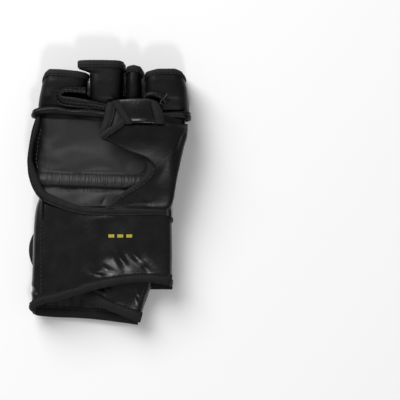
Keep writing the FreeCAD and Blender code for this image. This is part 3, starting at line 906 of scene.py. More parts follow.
def thenar_panel():
    """The leather over the root of the thumb, down to the wrist strap."""
    notch = [(2, -13.5, 29), (12.6, -3.9, 30.8), (28.6, 5.8, 32.6), (37.2, 13.8, 34), (39.8, 21, 35.2),
             (47.6, 32, 38.5), (56.6, 43.5, 38.9), (64.8, 54.6, 35.6)]
    middle = [(26, -14.5, 29), (31, -8, 31.6), (41.4, 8, 33.8), (48, 19, 35.6), (53, 29.5, 37.4),
              (57.4, 38.5, 38), (61.4, 47, 37), (65.6, 56, 33.4)]
    outside = [(46, -15, 29), (50, -9, 31.4), (53.4, 8, 33), (56.4, 20.5, 34.4), (58.6, 30, 35.4),
               (60.8, 39, 35.4), (63.6, 48, 34.4), (66, 58.4, 31)]
    edge = [(52.6, -15, 25.6), (55.4, -8, 27.8), (58.2, 8, 29.6), (60.8, 20.5, 30.4), (62.8, 30, 30.8),
            (64.8, 39, 30.8), (67.3, 48, 29.8), (68.4, 59.4, 27)]
    under = [(x - 3.4, y, z - 9) for x, y, z in edge]
    grid = loft([notch, middle, outside, edge, under])
    normal = normals_of(grid)
    grid = rumple(grid, normal, 22, 0.35, 3.3)
    grid = rumple(grid, normal, 7, 0.1, 6.1)
    leather_sheet("thenar_panel", creased(grid, normal, *THENAR_CREASES), "stretched", material="sheen")


def notch_binding():
    """The tape round the notch between the thumb and the open palm."""
    seam = [(31, 32.8, 33), (37.8, 28.2, 34.4), (39.8, 20.7, 34.4), (37.4, 13.6, 33.6), (28.8, 5.6, 32.4),
            (12.8, -4.1, 31), (2, -13.8, 29.2)]
    edge = [(27.5, 30.8, 31), (31.8, 26.5, 32.2), (32.6, 19.6, 32.4), (29.2, 13, 32), (22.9, 7.8, 31.2),
            (11.6, -0.2, 30), (-4.6, -13.6, 28.6)]
    bound_edge("palm_notch_binding", "hand", edge, seam, 2.6, rough=0.35, seed=5.2)


# ---------------------------------------------------------------- the fingers

# For each finger: the line of its opening seen from above, how wide its tape is, its roundness
# and the sides of its sleeve as (y, left, right) from the palm bar up.
FINGERS = {
    "little": ([(-56, 100.6), (-54.6, 104), (-51.5, 106.3), (-39, 105.8), (-27, 104.6), (-19.6, 103.4),
                (-17.3, 102.4)], 5.6, 3.8,
               [(71, -62.2, -20.6), (84, -60.2, -19.8), (93, -58.2, -19), (100, -56.2, -17.6),
                (107, -55, -17.2)]),
    "ring": ([(-28, 112), (-27.2, 113.5), (-24.6, 113.9), (-8, 114), (9, 113.7), (12.6, 113),
              (13.4, 111)], 6.4, 4.0,
             [(71, -16.6, 10.6), (84, -16.2, 11.2), (100, -16.6, 12.4), (104, -17, 12.6),
              (105.2, -27.2, 12.8), (107.5, -28, 13), (114, -28, 13.4)]),
    "middle": ([(14.7, 106.6), (16, 108.8), (21.8, 109.7), (27.6, 108.4), (30.4, 105.4)], 5.6, 2.6,
               [(71, 14.4, 28.6), (84, 14.6, 28.1), (98, 14.8, 27.8), (104, 14.8, 29.4), (110, 15, 30.4)]),
    "index": ([(31.4, 102), (33, 104.2), (42.4, 106.4), (57.5, 106.5), (62, 104.6), (64, 101.4)], 4.8, 3.8,
              [(71, 31.4, 69), (80, 31.4, 68.8), (90.7, 31.3, 67.6), (98.7, 31.2, 65.6), (107, 31.2, 64)]),
}
# The slots beside two of the fingers: from and to which x, at what y, and how they lean.
SLOTS = {"little": (-42, -15, 84.4, 0.06), "index": (26, 49, 80, -0.02)}
SLOT_WIDTH = 2.2
SLOT_DEPTH = 12.0
# The y where the fingers' sleeves start, under the palm bar.
FINGER_BASE = 71.0
# How high the sleeves are at each y, on the palm side.
FINGER_TOPS = [(FINGER_BASE, 29.5), (82, 35.2), (96, 36.4), (114, 35.6)]
# How many rows of points a sleeve has, and how many points round it, its lining and its tape.
SLEEVE_ROWS = 30
SLEEVE_ROUND = 84
LINING_ROUND = 64
TAPE_ROUND = 96
# How far inside the leather the lining lies.
LINING_INSET = 1.5
# How far the openings' tape sinks into the leather, and how high its stitches lie, as a share.
RIM_SUNK = 0.1
RIM_STITCHES = 0.42
# The ring finger's opening overhangs the little finger on the palm side only.
BACK_REACH = -16.8
# On its back the little finger's sleeve is a little longer, and narrows to pass the ring finger.
BACK_GAP = -21.2
BACK_LENGTH = 1.8
# Two points across the fold where a finger meets the hand, in metres.
FINGER_FOLD = ((0, 78 * MM, 20 * MM), (0, 94 * MM, 20 * MM))


def slit(grid, name):
    """The sleeve with the slot beside the finger pressed deep into its palm side."""
    if name not in SLOTS:
        return grid
    from_x, to_x, at_y, lean = SLOTS[name]
    inside = ramp(grid[..., 0], from_x, from_x + 4) * (1 - ramp(grid[..., 0], to_x - 3, to_x))
    beside = grid[..., 1] - at_y + lean * (grid[..., 0] - from_x)
    deep = inside * bump(beside, SLOT_WIDTH) * ramp(grid[..., 2], 20, 28)
    return grid - np.array((0, 0, SLOT_DEPTH)) * deep[..., None]


def sleeve_point(finger, angle, share, inset=0.0, floor=0.7):
    """A point on a finger sleeve: round it by angle, up it by share, and that far inside."""
    opening, _, power, sides = FINGERS[finger]
    across, height = rounded(angle, power)
    wide = (opening[0][0] + opening[-1][0]) / 2 + (opening[-1][0] - opening[0][0]) / 2 * across
    rim = read_off(opening, wide)
    if finger == "little":
        rim += BACK_LENGTH * float(ramp(wide, -38, -26)) * (1 - float(ramp(height, -0.5, 0.3)))
    y = FINGER_BASE + (rim - FINGER_BASE) * share
    left = read_off(sides, y)
    right = read_off(sides, y, 2)
    top = read_off(FINGER_TOPS, y)
    if finger == "ring" and left < BACK_REACH:
        left += (BACK_REACH - left) * (1 - float(ramp(height, 0.2, 0.8)))
    if finger == "little":
        right += (BACK_GAP - right) * (1 - float(ramp(height, -0.4, 0.4))) * float(ramp(y, 95, 103))
    half = (right - left) / 2 - inset
    rise = (top - floor) / 2 - inset
    return np.array(((left + right) / 2 + half * across, y, (top + floor) / 2 + rise * height))


def lining_floor(share):
    """How high the lining lies over a finger's foam pad, which thins out at the opening."""
    return 13.0 - 12.0 * float(ramp(share, 0.74, 0.97))


def finger_layer(piece_name, body, material, slot, grid, thickness):
    """A closed sleeve of leather or lining that stands for the CAD node of its own name."""
    piece = Piece(piece_name, MATERIALS[material])
    piece.sheet(grid, thickness, closed=True)
    layer = piece.make(slot)
    across_joint(layer, piece_name, body, *FINGER_FOLD)
    cut_sheet(layer, "stretched", grid, closed=True)


def finger(name, seed):
    """One finger: leather sleeve, lining, foam pad on its back and the bound opening."""
    body = name + "_finger"
    reach = FINGERS[name][1]
    tall = FINGERS[name][0][2][1] - FINGER_BASE
    grid = np.array([[sleeve_point(name, angle, share) for angle in around(SLEEVE_ROUND)]
                     for share in np.linspace(0, 1 - 2 / tall, SLEEVE_ROWS)])
    normal = normals_of(grid, True)
    grid = slit(grid, name)
    grid = rumple(grid, normal, 15, 0.45, seed)
    grid = rumple(grid, normal, 5, 0.12, seed + 3)
    finger_layer(name + "_sleeve", body, "leather", "outer_leather", grid, LEATHER)

    shares = np.linspace(0.18, 1 - 0.5 / tall, SLEEVE_ROWS)
    grid = np.array([[sleeve_point(name, angle, share, LINING_INSET, lining_floor(share))
                      for angle in around(LINING_ROUND)] for share in shares])
    grid = slit(grid, name)
    grid = rumple(grid, normals_of(grid, True), 6, 0.25, seed + 5)
    finger_layer(name + "_lining", body, "satin", "satin_lining", grid, LINING)

    corner, top = low(name + "_foam"), high(name + "_foam")
    centre = (corner + top) / 2 - (0, 2.4, 0.7)
    pad = rounded_pad(name + "_foam", centre, (top - corner) / 2 * (0.92, 0.7, 0.76), 3.6, seed)
    place(pad, body, name + "_foam")
    finger_binding(name, body, reach, tall)


def finger_binding(name, body, reach, tall):
    """The tape round a finger's opening, with two rows of stitches."""
    rings = []
    rows = ([], [])
    ups = []
    for angle in around(TAPE_ROUND):
        edge = sleeve_point(name, angle, 1.0)
        seam = edge - (0, reach, 0)
        seam[[0, 2]] = sleeve_point(name, angle, 1 - reach / tall)[[0, 2]]
        out = sleeve_point(name, angle, 1.0, -1.0) - edge
        out /= np.linalg.norm(out)
        rings.append([seam + a * (edge - seam) + (b * RIM_TAPE - RIM_SUNK) * out for a, b in TAPE_SECTION])
        for row, share in zip(rows, (STITCH_ROW, 0.5)):
            row.append(seam + share * (edge - seam) + (RIM_STITCHES * RIM_TAPE - RIM_SUNK) * out)
        ups.append(out)
    piece = Piece(name + "_binding", MATERIALS["tape"], MATERIALS["thread"])
    piece.tube(np.array(rings), closed=True)
    for row in rows:
        piece.stitches(row + row[:1], np.array(ups + ups[:1]))
    place(piece.make("edge_binding"), body, name + "_binding")


# ---------------------------------------------------------------- the thumb

# A point on the thumb's hinge line, and the way across it towards the thumb.
HINGE = np.array((38.9, 22.1, 34.0))
TO_THUMB = np.array((-0.789, 0.615, 0.0))
# Two points across the thumb's fold, on the hinge line and beyond it towards the thumb, in metres.
FOLD_LENGTH = 16
THUMB_FOLD = (tuple(HINGE * MM), tuple((HINGE + FOLD_LENGTH * TO_THUMB) * MM))


def thumb_sleeve():
    """The flattened leather thumb sleeve, front and back layers joined along the lower edge."""
    front = loft([
        [(16, 59.6, 40.8), (33, 59.4, 41), (50.4, 59, 40.4), (59, 58.8, 37.6), (66, 58.4, 33)],
        [(14, 57.6, 41.8), (31, 57, 42), (48, 56, 41.4), (57.5, 54.4, 39.8), (64.8, 51.6, 37.1)],
        [(9.5, 54, 41.8), (26, 51.4, 42), (41, 47.6, 41.4), (50.5, 45.2, 40.4), (58, 41.8, 39.1)],
        [(3, 49.8, 41.8), (18, 44.5, 41.8), (32, 40, 41), (41.5, 35.6, 39.8), (49, 30.4, 38.8)],
        [(-2.4, 46.2, 41.4), (15.6, 37.6, 41), (28.2, 32.8, 39.6), (35.4, 28.6, 38), (40.8, 21.8, 35.8)],
        [(-3.4, 45.4, 39.8), (14.8, 36.2, 39.4), (27.5, 31.5, 38), (34.6, 27.8, 36.4), (39.8, 20.6, 34.2)],
        [(-3, 46, 38), (15.2, 37, 38), (28, 32.2, 36.6), (34.8, 28.4, 34.6), (39.9, 21, 32.8)]])
    normal = normals_of(front)
    front = rumple(front, normal, 20, 0.35, 2.9)
    front = rumple(front, normal, 6, 0.1, 7.1)
    back = loft([
        [(-0.3, 77, 36), (18, 78.4, 36.6), (34, 77, 36.4), (46, 67, 34.8), (65, 66, 29)],
        [(-4, 62.6, 36.2), (14, 62, 36.8), (34, 58, 36.6), (48, 50, 35.4), (56.5, 43.8, 32.6)],
        [(-7.6, 50, 37), (8, 47, 37), (24, 42, 36.8), (36, 37, 35), (47.5, 32.2, 32)],
        [(-3.4, 46, 38), (15, 37, 38), (27.6, 32.4, 36.2), (34, 28.6, 33.6), (39.8, 21.6, 30.8)]])
    back = rumple(back, normals_of(back), 18, 0.4, 6.6)
    piece = Piece("thumb_sleeve", MATERIALS["sheen"])
    piece.sheet(front, LEATHER)
    piece.sheet(back, LEATHER)
    sleeve = piece.make("outer_leather")
    across_joint(sleeve, "thumb_sleeve", "thumb", *THUMB_FOLD)
    cut_sheet(sleeve, "folded", front, back)

    lining = loft([
        [(4, 76.4, 37.2), (18, 77.4, 37.8), (33, 76, 37.6), (43, 63.6, 36), (58, 58, 32.6)],
        [(0, 62.6, 37.6), (14, 62, 38.2), (33, 57.4, 37.8), (46, 49, 36.6), (54.5, 43.6, 33.8)],
        [(-4, 50, 38.4), (8, 47.6, 38.4), (24, 43, 38.2), (35, 38, 36.4), (45, 32.8, 33.2)]])
    lining = rumple(lining, normals_of(lining), 5, 0.7, 1.1, (1, 0.3, 1))
    piece = Piece("thumb_lining", MATERIALS["satin"])
    piece.sheet(lining, LINING)
    inner = piece.make("satin_lining")
    across_joint(inner, "thumb_lining", "thumb", *THUMB_FOLD)
    cut_sheet(inner, "stretched", lining)


def thumb_bindings():
    """The tapes on the two edges of the thumb's opening."""
    bound_edge("thumb_back_binding", "thumb",
               [(-0.3, 77.6, 37.4), (-2.3, 72.3, 37.6), (-4, 62.6, 37.8), (-5.8, 56, 38), (-8, 49.4, 38.4)],
               [(6.4, 77.2, 38.4), (6.3, 71.2, 38.6), (4.6, 63, 38.6), (2.2, 56.8, 38.8),
                (-2.5, 48.4, 39.2)],
               2.2, seed=8.2)
    bound_edge("thumb_mouth_binding", "thumb",
               [(-8, 48.4, 42.6), (-2.6, 52.8, 43.6), (5, 57.8, 43.8), (12.6, 61.6, 42.8)],
               [(-3, 45.4, 42.8), (3, 50, 44.2), (10, 55, 44.4), (16.6, 59.6, 43.2)],
               2.5, seed=9.4)


def thumb_band():
    """The bound band over the tip of the thumb sleeve, rolled at its lower edge."""
    grid = loft([
        [(10, 78.2, 38.2), (22, 79, 38.2), (35.4, 78.8, 38.2)],
        [(9.4, 79.6, 42), (22, 80.4, 42.2), (35.6, 80.2, 42)],
        [(9.8, 79, 43.8), (22.2, 79.8, 44.2), (35.8, 79.4, 43.8)],
        [(11, 77, 44.4), (23, 77.6, 44.9), (36, 77, 44.4)],
        [(14.8, 70.4, 44.8), (26, 70.4, 45.6), (37.5, 69.6, 44.8)],
        [(19.4, 63.4, 44.8), (29.4, 63.2, 45.4), (39.4, 62.4, 44.8)],
        [(21.2, 61, 45.4), (30.8, 61, 46.2), (40.4, 60.4, 45.4)],
        [(22, 59.4, 45), (31.4, 59.2, 45.6), (40.8, 58.8, 45)],
        [(22, 59.2, 43.2), (31.4, 59, 43.4), (40.8, 58.6, 43.2)]], 1.0)
    grid = rumple(grid, normals_of(grid), 14, 0.25, 3.8)
    leather_sheet("thumb_band", grid, "folded", "thumb", "shiny", ["soft_thumb_sleeve"])
    bound_edge("thumb_band_inner_binding", "thumb",
               [(2.8, 77.6, 43.4), (8, 70, 44), (12, 63.6, 44.2), (15.4, 58.4, 43.8)],
               [(9.6, 79.2, 43.8), (14.4, 71, 45), (18.6, 64.4, 45.2), (22, 58.8, 44.8)], 2.3, seed=1.9)
    bound_edge("thumb_band_outer_binding", "thumb",
               [(42.4, 77.4, 43), (44.9, 73.4, 43.4), (47.4, 67.4, 43.6), (48.6, 58.4, 43)],
               [(35.6, 79.8, 43.6), (37.2, 73, 44.8), (38.9, 67, 45), (40.9, 58.8, 44.8)], 2.3, seed=4.4)


# ---------------------------------------------------------------- the cuff

# The free edge and the sewn line of the hem's tape.
CUFF_EDGE = [(-67.8, -106, 8), (-63.4, -108, 5.6), (-48.5, -109.4, 5.2), (-31.3, -110, 5.2),
             (-14, -111.2, 5.2), (8.9, -114, 5.2), (24, -116.2, 5.4)]
CUFF_SEAM = [(-68.2, -98.4, 8.6), (-62.4, -99.2, 6), (-48.5, -99.4, 5.6), (-31.3, -100.2, 5.6),
             (-14, -101.4, 5.6), (8.9, -104.4, 5.6), (25.4, -106.8, 5.8)]


def cuff():
    """The back of the cuff with its gathered lining, loop patch and bound hem."""
    grid = loft([
        [(-67, -105, 11), (-65.4, -106.4, 6), (-50, -107.6, 4.6), (-20, -108.6, 4.4), (4, -111.4, 4.4),
         (22, -113.4, 4.6)],
        [(-66.4, -98, 12), (-65, -99, 6), (-50, -99.5, 4.6), (-20, -100, 4.4), (8, -103, 4.4),
         (27, -106, 4.8)],
        [(-65, -70, 13), (-63.6, -70, 6), (-48, -70, 4.6), (-10, -70, 4.4), (20, -72, 4.4), (38, -74, 5)],
        [(-63, -40, 13), (-61.8, -40, 6), (-46, -40, 4.6), (-5, -40, 4.4), (34, -40, 4.4), (46.5, -40, 5.4)],
        [(-59, -13, 13), (-57.8, -13, 6), (-42, -13, 4.6), (-2, -13, 4.4), (36, -13, 4.4),
         (49, -13, 5.6)]], 2.2)
    grid = rumple(grid, normals_of(grid), 20, 0.4, 7.3)
    leather_sheet("cuff_back_panel", grid, "stretched")

    grid = loft([
        [(-58, -14, 8), (-20, -14, 8.4), (20, -14, 8.4), (46, -14, 8)],
        [(-60, -50, 8.4), (-20, -52, 9), (15, -52, 9), (42, -50, 8)],
        [(-62, -84, 8.6), (-25, -84, 10), (8, -86, 10), (32, -86, 8)],
        [(-63, -99, 8), (-30, -100, 9), (4, -103, 9), (26, -106, 7.6)]], 1.4)
    normal = normals_of(grid)
    grid = rumple(grid, normal, 4.5, 1.0, 2.6, (1, 0.25, 1))
    grid = rumple(grid, normal, 16, 1.0, 8.6)
    # The cuff's lining takes the darker satin, painted shade for the strap's shadow over it.
    piece = Piece("cuff_lining", MATERIALS["shade_darkened_satin"])
    piece.sheet(grid, LINING)
    lining = place(piece.make("satin_lining"), "hand", "cuff_lining")
    cut_sheet(lining, "gathered", grid, rests_on=["soft_cuff_back_panel"])

    bound_edge("cuff_hem_binding", "hand", CUFF_EDGE, CUFF_SEAM, 3.0, rough=0.4, seed=3.7)


# Folds in the flap's leather: where from, where to, how wide and how deep.
FLAP_CREASES = [((18, -84), (26, -98), 1.5, 1.0), ((-12, -82), (-2, -90), 1.8, 1.3),
                ((-4, -80), (4, -90), 1.6, 0.8), ((22, -82), (27, -92), 1.6, 0.9)]


def cuff_flap():
    """The flap inside the strap, rolled over along the thumb side, with its bound end."""
    grid = loft([
        [(-14, -22, 17.6), (20, -22, 18.4), (42, -22, 18), (46.8, -22, 16.6), (47.8, -22, 10)],
        [(-16, -50, 17.6), (14, -52, 18.4), (36, -52, 18), (42.4, -52, 16.6), (43.6, -52, 10)],
        [(-17, -74, 18), (8, -76, 19), (29.4, -79, 19), (34.8, -80, 17), (36.4, -80, 11)],
        [(-20, -84, 17.6), (-3, -89.4, 19.6), (12, -93, 19.8), (28.4, -94, 18.2), (31, -94.6, 11)],
        [(-20.5, -87, 16.6), (-4, -93.4, 19), (10.6, -98.4, 19.4), (25.6, -103, 17.8),
         (28.2, -104.4, 11)]], 1.3)
    normal = normals_of(grid)
    grid = rumple(grid, normal, 13, 0.8, 5.9)
    grid = rumple(grid, normal, 5, 0.12, 3.3)
    grid = creased(grid, normal, *FLAP_CREASES)
    piece = Piece("cuff_flap", MATERIALS["shiny"], MATERIALS["thread"])
    piece.sheet(grid, LEATHER)
    rim = spline([(31, -81, 0), (28.6, -88, 0), (25.6, -95, 0), (22.8, -101, 0)], 40)
    piece.stitches(on_surface(grid, rim[:, :2], 0.1), (0, 0, 1))
    flap = place(piece.make("outer_leather"), "hand", "cuff_flap")
    cut_sheet(flap, "folded", grid)
    bound_edge("cuff_flap_binding", "hand",
               [(-25.6, -89, 15), (-15, -96.8, 17.4), (4.6, -104.4, 18.6), (18.3, -110, 18.8),
                (26.2, -113.2, 17)],
               [(-17.5, -84.6, 18), (-3.8, -91.8, 19.8), (7.4, -96.2, 20.2), (23.2, -102, 19.8),
                (28.8, -104, 18)],
               2.6, rough=0.4, seed=7.8)


# ---------------------------------------------------------------- the wrist strap

# The bottom binding's sewn line and its free edge, and how far out the pinky side is, as (y, x).
STRAP_SEAM = [(-65.4, -98.6, 8), (-67.8, -98, 14), (-68.4, -95.6, 20), (-66.6, -93.4, 24.4),
              (-62.8, -90, 26.6), (-54, -87.3, 27.4), (-42.7, -84.7, 27.6), (-31.3, -80.8, 27.6),
              (-19.8, -77.3, 27.6), (-5.5, -73.9, 27.6), (8.9, -71.6, 27.6), (21.8, -70.2, 27.6),
              (36, -69.8, 27.4), (44, -70.8, 26.9), (49.6, -71.6, 26), (51.6, -70, 25.2)]
STRAP_EDGE = [(-65.8, -104.6, 7), (-68.2, -104, 12.6), (-68.8, -102.4, 18.6), (-67, -101.2, 22.6),
              (-62, -98, 25), (-54, -95, 26), (-42.7, -92.6, 26.4), (-25.5, -87.6, 26.6),
              (-8.3, -83, 26.6), (8.9, -79.6, 26.6), (16, -78.2, 26.6), (30.4, -77.2, 26.6),
              (40, -77.8, 26.4), (47, -79.6, 25.8), (51.8, -79.6, 24.6), (54.2, -76.4, 23.8),
              (54.6, -71, 24)]
STRAP_SIDE = [(-5, -61), (-14, -64), (-32, -66.4), (-49, -67), (-66, -67.4), (-84, -67.8), (-96, -68.8)]
# The groove of the side seam, and sharper folds in the strap's leather: where from, where to, how
# wide and how deep.
STRAP_CREASES = [((-58.4, 6), (-59.6, -106), 0.7, -0.7), ((-16, -66), (-2, -70), 2.2, 1.2),
                 ((-14, -62), (8, -69), 2.6, 0.7), ((2, -48), (17, -64), 2.2, 0.8),
                 ((18, -50), (29, -60), 2.4, 0.7), ((27, -60), (36, -69), 2.2, 0.7),
                 ((-69, -78), (-60, -82), 1.8, 0.8), ((-70, -86), (-61, -90), 1.8, 0.8),
                 ((-70, -82), (-62, -86), 1.8, -0.8), ((-20, -24), (10, -21), 2.4, 0.4)]
# The strap's upper sewn line across the palm side, from the pinky side to the thumb side.
STRAP_TOP = [(-61, -5), (-54, -10), (-42, -14), (-28, -16.5), (-14, -17.5), (16, -17.5), (38, -17.5),
             (48, -19), (54, -22)]
# Its lower sewn line, which ends lower than its binding's at the thumb side.
STRAP_BOTTOM = STRAP_SEAM[:-1] + [(54.6, -74)]
# How far down the strap each of its modelled rows lies, as a share.
STRAP_ROWS = (0, 0.1, 0.25, 0.42, 0.6, 0.78, 0.92, 1.02)


def strap_level(x, share):
    """The y of a row of the strap at that x."""
    top = read_off(STRAP_TOP, x)
    return top + (read_off(STRAP_BOTTOM, x) - top) * share


def strap_row(share):
    """One row of the strap, from under the pinky side over the front to the thumb side."""
    side_y = strap_level(-62, share)
    side = float(np.interp(-side_y, [-spot[0] for spot in STRAP_SIDE], [spot[1] for spot in STRAP_SIDE]))
    lift = 0.9 * math.sin(math.pi * share)
    wall_y = side_y - 8 * share ** 3
    wall = [(side + 4, wall_y, 5.6), (side + 0.8, wall_y, 9), (side, wall_y + 1, 17),
            (side + 1.6, side_y - 2 * share ** 3, 24)]
    front = [(side + 6, 27), (side + 16, 27.4 + lift), (-30, 27.3 + lift), (-8, 27.2 + lift),
             (14, 27.2 + lift), (34, 27.2 + lift), (46, 26.9 + lift * 0.4), (52, 25.4), (54.2, 21.5)]
    return wall + [(x, strap_level(x, share), z) for x, z in front] + [(53.9, strap_level(54.2, share), 16)]


def strap_front():
    """The shiny front of the wrist strap, wrapped over the pinky side and round towards the turn."""
    grid = loft([strap_row(share) for share in STRAP_ROWS], 1.25)
    normal = normals_of(grid)
    x, y = grid[..., 0], grid[..., 1]
    grid = rumple(grid, normal, 24, 0.7, 9.2)
    # A broad bulge over the wrist, a smaller one beside the flap and one towards the pinky side.
    upper = np.where(y > -50, bump(y + 50, 30), bump(y + 50, 14))
    bulge = 2.8 * bump(x - 8, 25) * upper + 1.2 * bump(x + 7, 11) * bump(y + 60, 9)
    bulge = bulge + 1.6 * bump(x + 32, 17) * bump(y + 84, 14)
    grid = grid + normal * bulge[..., None]
    # Uneven leaning folds, deepest over the bulge and at the lower pinky side.
    folds = bump(x - 8, 24) * bump(y + 61, 12) + 0.5 * bump(x + 66, 8) * bump(y + 84, 12)
    lumps = noise_over((x + y * 0.5) / 8.5, y / 17, 4.2)
    grid = grid + normal * (1.15 * lumps * (0.05 + folds))[..., None]
    grid = creased(grid, normal, *STRAP_CREASES)
    piece = Piece("strap_front_panel", MATERIALS["shiny"], MATERIALS["thread"])
    piece.sheet(grid, LEATHER)
    line = on_surface(grid, [(-58.7, y) for y in np.linspace(-9, -88, 60)])
    piece.stitches(line, (0, 0, 1))
    panel = piece.make("outer_leather")
    across_joint(panel, "strap_front_panel", "strap_turn", (50.5 * MM, 0, 27 * MM), (55 * MM, 0, 20 * MM))
    cut_sheet(panel, "stretched", grid)
    marks(grid)
    bound_edge("strap_bottom_binding", "hand", STRAP_EDGE, STRAP_SEAM, 2.8, rough=0.45, seed=6.4)


# How many printed bars there are, and how wide each is.
BARS = 3
BAR_WIDTH = 5.0


def marks(grid):
    """Three plain printed bars on the strap."""
    corner, top = low("size_mark"), high("size_mark")
    pitch = (top[0] - corner[0] - BAR_WIDTH) / (BARS - 1)
    piece = Piece("size_mark", MATERIALS["film"])
    for bar in range(BARS):
        left = corner[0] + bar * pitch
        places = [(x, y) for y in np.linspace(top[1] - 0.4, corner[1] + 0.5, 9)
                  for x in np.linspace(left, left + BAR_WIDTH, 12)]
        patch = on_surface(grid, places, 0.22).reshape(9, 12, 3)
        piece.sheet(patch, 0.2)
    place(piece.make("print_film"), "hand", "size_mark")


# The middle of the free end's round tip.
TAIL_CENTRE = (-43.4, -50.6)
# Two points across the fold between the free end and the strap's turn, in metres.
TAIL_FOLD = ((54.8 * MM, 0, 6.5 * MM), (50 * MM, 0, 0.9 * MM))


def strap_turn():
    """The stretch of strap round the thumb side of the wrist, with its two bindings."""
    grid = loft([
        [(54, -76, 17), (54, -60, 17.4), (54, -40, 17.4), (54, -25, 17)],
        [(54, -76, 12), (54.1, -60, 12), (54.1, -40, 12), (54, -25, 12)],
        [(53.4, -76, 6), (53.5, -60, 5.6), (53.5, -40, 5.6), (53.4, -25, 6)]])
    grid = rumple(grid, normals_of(grid), 12, 0.4, 5.1)
    leather_sheet("strap_turn_panel", grid, "stretched", "strap_turn")
    for part, seam_y, edge_y in (("upper", -26, -21), ("lower", -76, -81.5)):
        column = [(52.8, 25.2), (53.8, 21.6), (54.1, 14), (53.7, 7), (52.8, 3.4)]
        bound_edge(f"strap_turn_{part}_binding", "strap_turn", [(x - 0.3, edge_y, z) for x, z in column],
                   [(x, seam_y, z) for x, z in column], 2.4, (1, 0, 0), seed=2.2)


def strap_sag(x, share):
    """How much further down the lower edge of the strap's return hangs towards the thumb side."""
    return 5.5 * float(ramp(x, 0, 36)) * max(0.0, -share)


def strap_tail():
    """The free end of the strap behind the wrist: rounded, bound, with the hook patch inside."""
    half = (high("strap_tail_panel")[1] - low("strap_tail_panel")[1]) / 2
    end_x, middle_y = TAIL_CENTRE
    stations = [(end_x - half * math.sin(turn), 0.9, half * math.cos(turn))
                for turn in np.linspace(1.5, 0, 9)]
    stations += [(x, 0.9, half) for x in (-20, 0, 20, 40, 48)]
    stations += [(51.4, 1.8, half), (53, 4.2, half), (53.5, 7.4, half)]
    rows = [[(x, middle_y + reach * share - strap_sag(x, share), z) for share in (1, 0.5, 0, -0.5, -1)]
            for x, z, reach in stations]
    grid = loft(rows, 1.8)
    grid = rumple(grid, normals_of(grid), 22, 0.35, 4.9)
    piece = Piece("strap_tail_panel", MATERIALS["leather"])
    piece.sheet(grid, LEATHER)
    tail = piece.make("outer_leather")
    across_joint(tail, "strap_tail_panel", "strap_tail", *TAIL_FOLD, anchor="strap_turn")
    cut_sheet(tail, "folded", grid)

    def path(reach):
        ends = [(53.4, 5.4), (52.2, 2.6), (47, 1.2), (30, 1.1), (10, 1.1), (-10, 1.1), (-25, 1.1)]
        outline = [(x, middle_y + reach, z) for x, z in ends]
        outline += [(end_x - reach * math.sin(turn), middle_y + reach * math.cos(turn), 1.1)
                    for turn in np.linspace(0, math.pi, 13)]
        outline += [(x, middle_y - reach - strap_sag(x, -1), z) for x, z in reversed(ends)]
        return outline
    edge, seam = path(half + 4.8), path(half - 0.4)
    tape = binding("strap_tail_binding", edge, seam, 2.1, (0, 0, -1), seed=1.2)
    across_joint(tape, "strap_tail_binding", "strap_tail", *TAIL_FOLD, anchor="strap_turn")


def fastening_tapes():
    """The hook patch in the strap end and the loop patch on the cuff keep their frame shapes."""
    for name, material in (("hook_patch", "hook"), ("loop_patch", "loop")):
        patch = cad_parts[name]
        patch.data.materials.clear()
        patch.data.materials.append(MATERIALS[material])


# ---------------------------------------------------------------- the stage

# The floor's colour, how far it reaches and how low it lies, in metres, and the room's light.
# Then the lights: where, how wide, in metres, and how strong, in watts, and the spot they point at.
FLOOR_COLOUR = (0.93, 0.93, 0.93)
FLOOR_REACH = 3.0
FLOOR_LEVEL = -0.0006
ROOM_LIGHT = 0.25
LIGHTS = {"key_light": ((-1.15, 1.8, 1.8), 1.9, 88), "low_light": ((0.2, -0.95, 1.5), 0.24, 6.5)}
LIT_SPOT = Vector((0.05, 0, 0.02))
# The lens and sensor width in millimetres. The view's width and centre are shares of the glove's
# length, and its level a share of the glove's height.
LENS = 120
SENSOR = 36
VIEW_WIDTH = 1.509
VIEW_LEVEL = 0.7
VIEW_RIGHT = 0.69
VIEW_DOWN = 0.0544


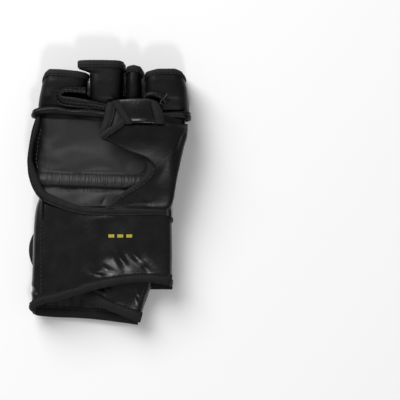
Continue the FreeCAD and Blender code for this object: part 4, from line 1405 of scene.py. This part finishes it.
def stage():
    """A pale floor, soft lights and a camera straight above, as the glove was photographed."""
    floor_mesh = bpy.data.meshes.new("floor")
    corners = [(-1, -1), (1, -1), (1, 1), (-1, 1)]
    floor_mesh.from_pydata([(x * FLOOR_REACH, y * FLOOR_REACH, 0) for x, y in corners], [], [(0, 1, 2, 3)])
    floor = bpy.data.objects.new("floor", floor_mesh)
    floor.location.z = FLOOR_LEVEL
    bpy.context.scene.collection.objects.link(floor)
    pale = bpy.data.materials.new("pale_floor")
    pale.use_nodes = True
    shader = pale.node_tree.nodes["Principled BSDF"]
    shader.inputs["Base Color"].default_value = (*FLOOR_COLOUR, 1)
    shader.inputs["Roughness"].default_value = 1.0
    shader.inputs["Specular IOR Level"].default_value = 0.0
    floor_mesh.materials.append(pale)

    for name, (spot, size, power) in LIGHTS.items():
        data = bpy.data.lights.new(name, "AREA")
        data.size = size
        data.energy = power
        lamp = bpy.data.objects.new(name, data)
        lamp.location = spot
        lamp.rotation_euler = (LIT_SPOT - Vector(spot)).to_track_quat("-Z", "Y").to_euler()
        bpy.context.scene.collection.objects.link(lamp)

    world = bpy.data.worlds.new("soft_room")
    world.use_nodes = True
    sky = world.node_tree.nodes["Background"]
    sky.inputs["Color"].default_value = (1, 1, 1, 1)
    sky.inputs["Strength"].default_value = ROOM_LIGHT
    bpy.context.scene.world = world
    bpy.context.scene.view_settings.view_transform = "Standard"

    lowest, highest = (np.array(corner) for corner in cad_bounds)
    half_long = (highest[1] - lowest[1]) / 2
    camera = bpy.data.objects.new("camera", bpy.data.cameras.new("camera"))
    camera.data.lens = LENS
    camera.data.sensor_width = SENSOR
    wide = half_long * 2 * VIEW_WIDTH
    middle = lowest[2] + (highest[2] - lowest[2]) * VIEW_LEVEL
    camera.location = (half_long * VIEW_RIGHT, -half_long * VIEW_DOWN, middle + wide * LENS / SENSOR)
    bpy.context.scene.collection.objects.link(camera)
    bpy.context.scene.camera = camera


def build():
    """Everything, from the inside out."""
    back_foam()
    hand_shell()
    palm_lining()
    webs()
    for count, name in enumerate(FINGERS):
        finger(name, 2.5 + 4 * count)
    palm_rim()
    palm_bar()
    thenar_panel()
    notch_binding()
    thumb_sleeve()
    thumb_bindings()
    thumb_band()
    cuff()
    cuff_flap()
    strap_front()
    strap_turn()
    strap_tail()
    fastening_tapes()
    stage()


build()
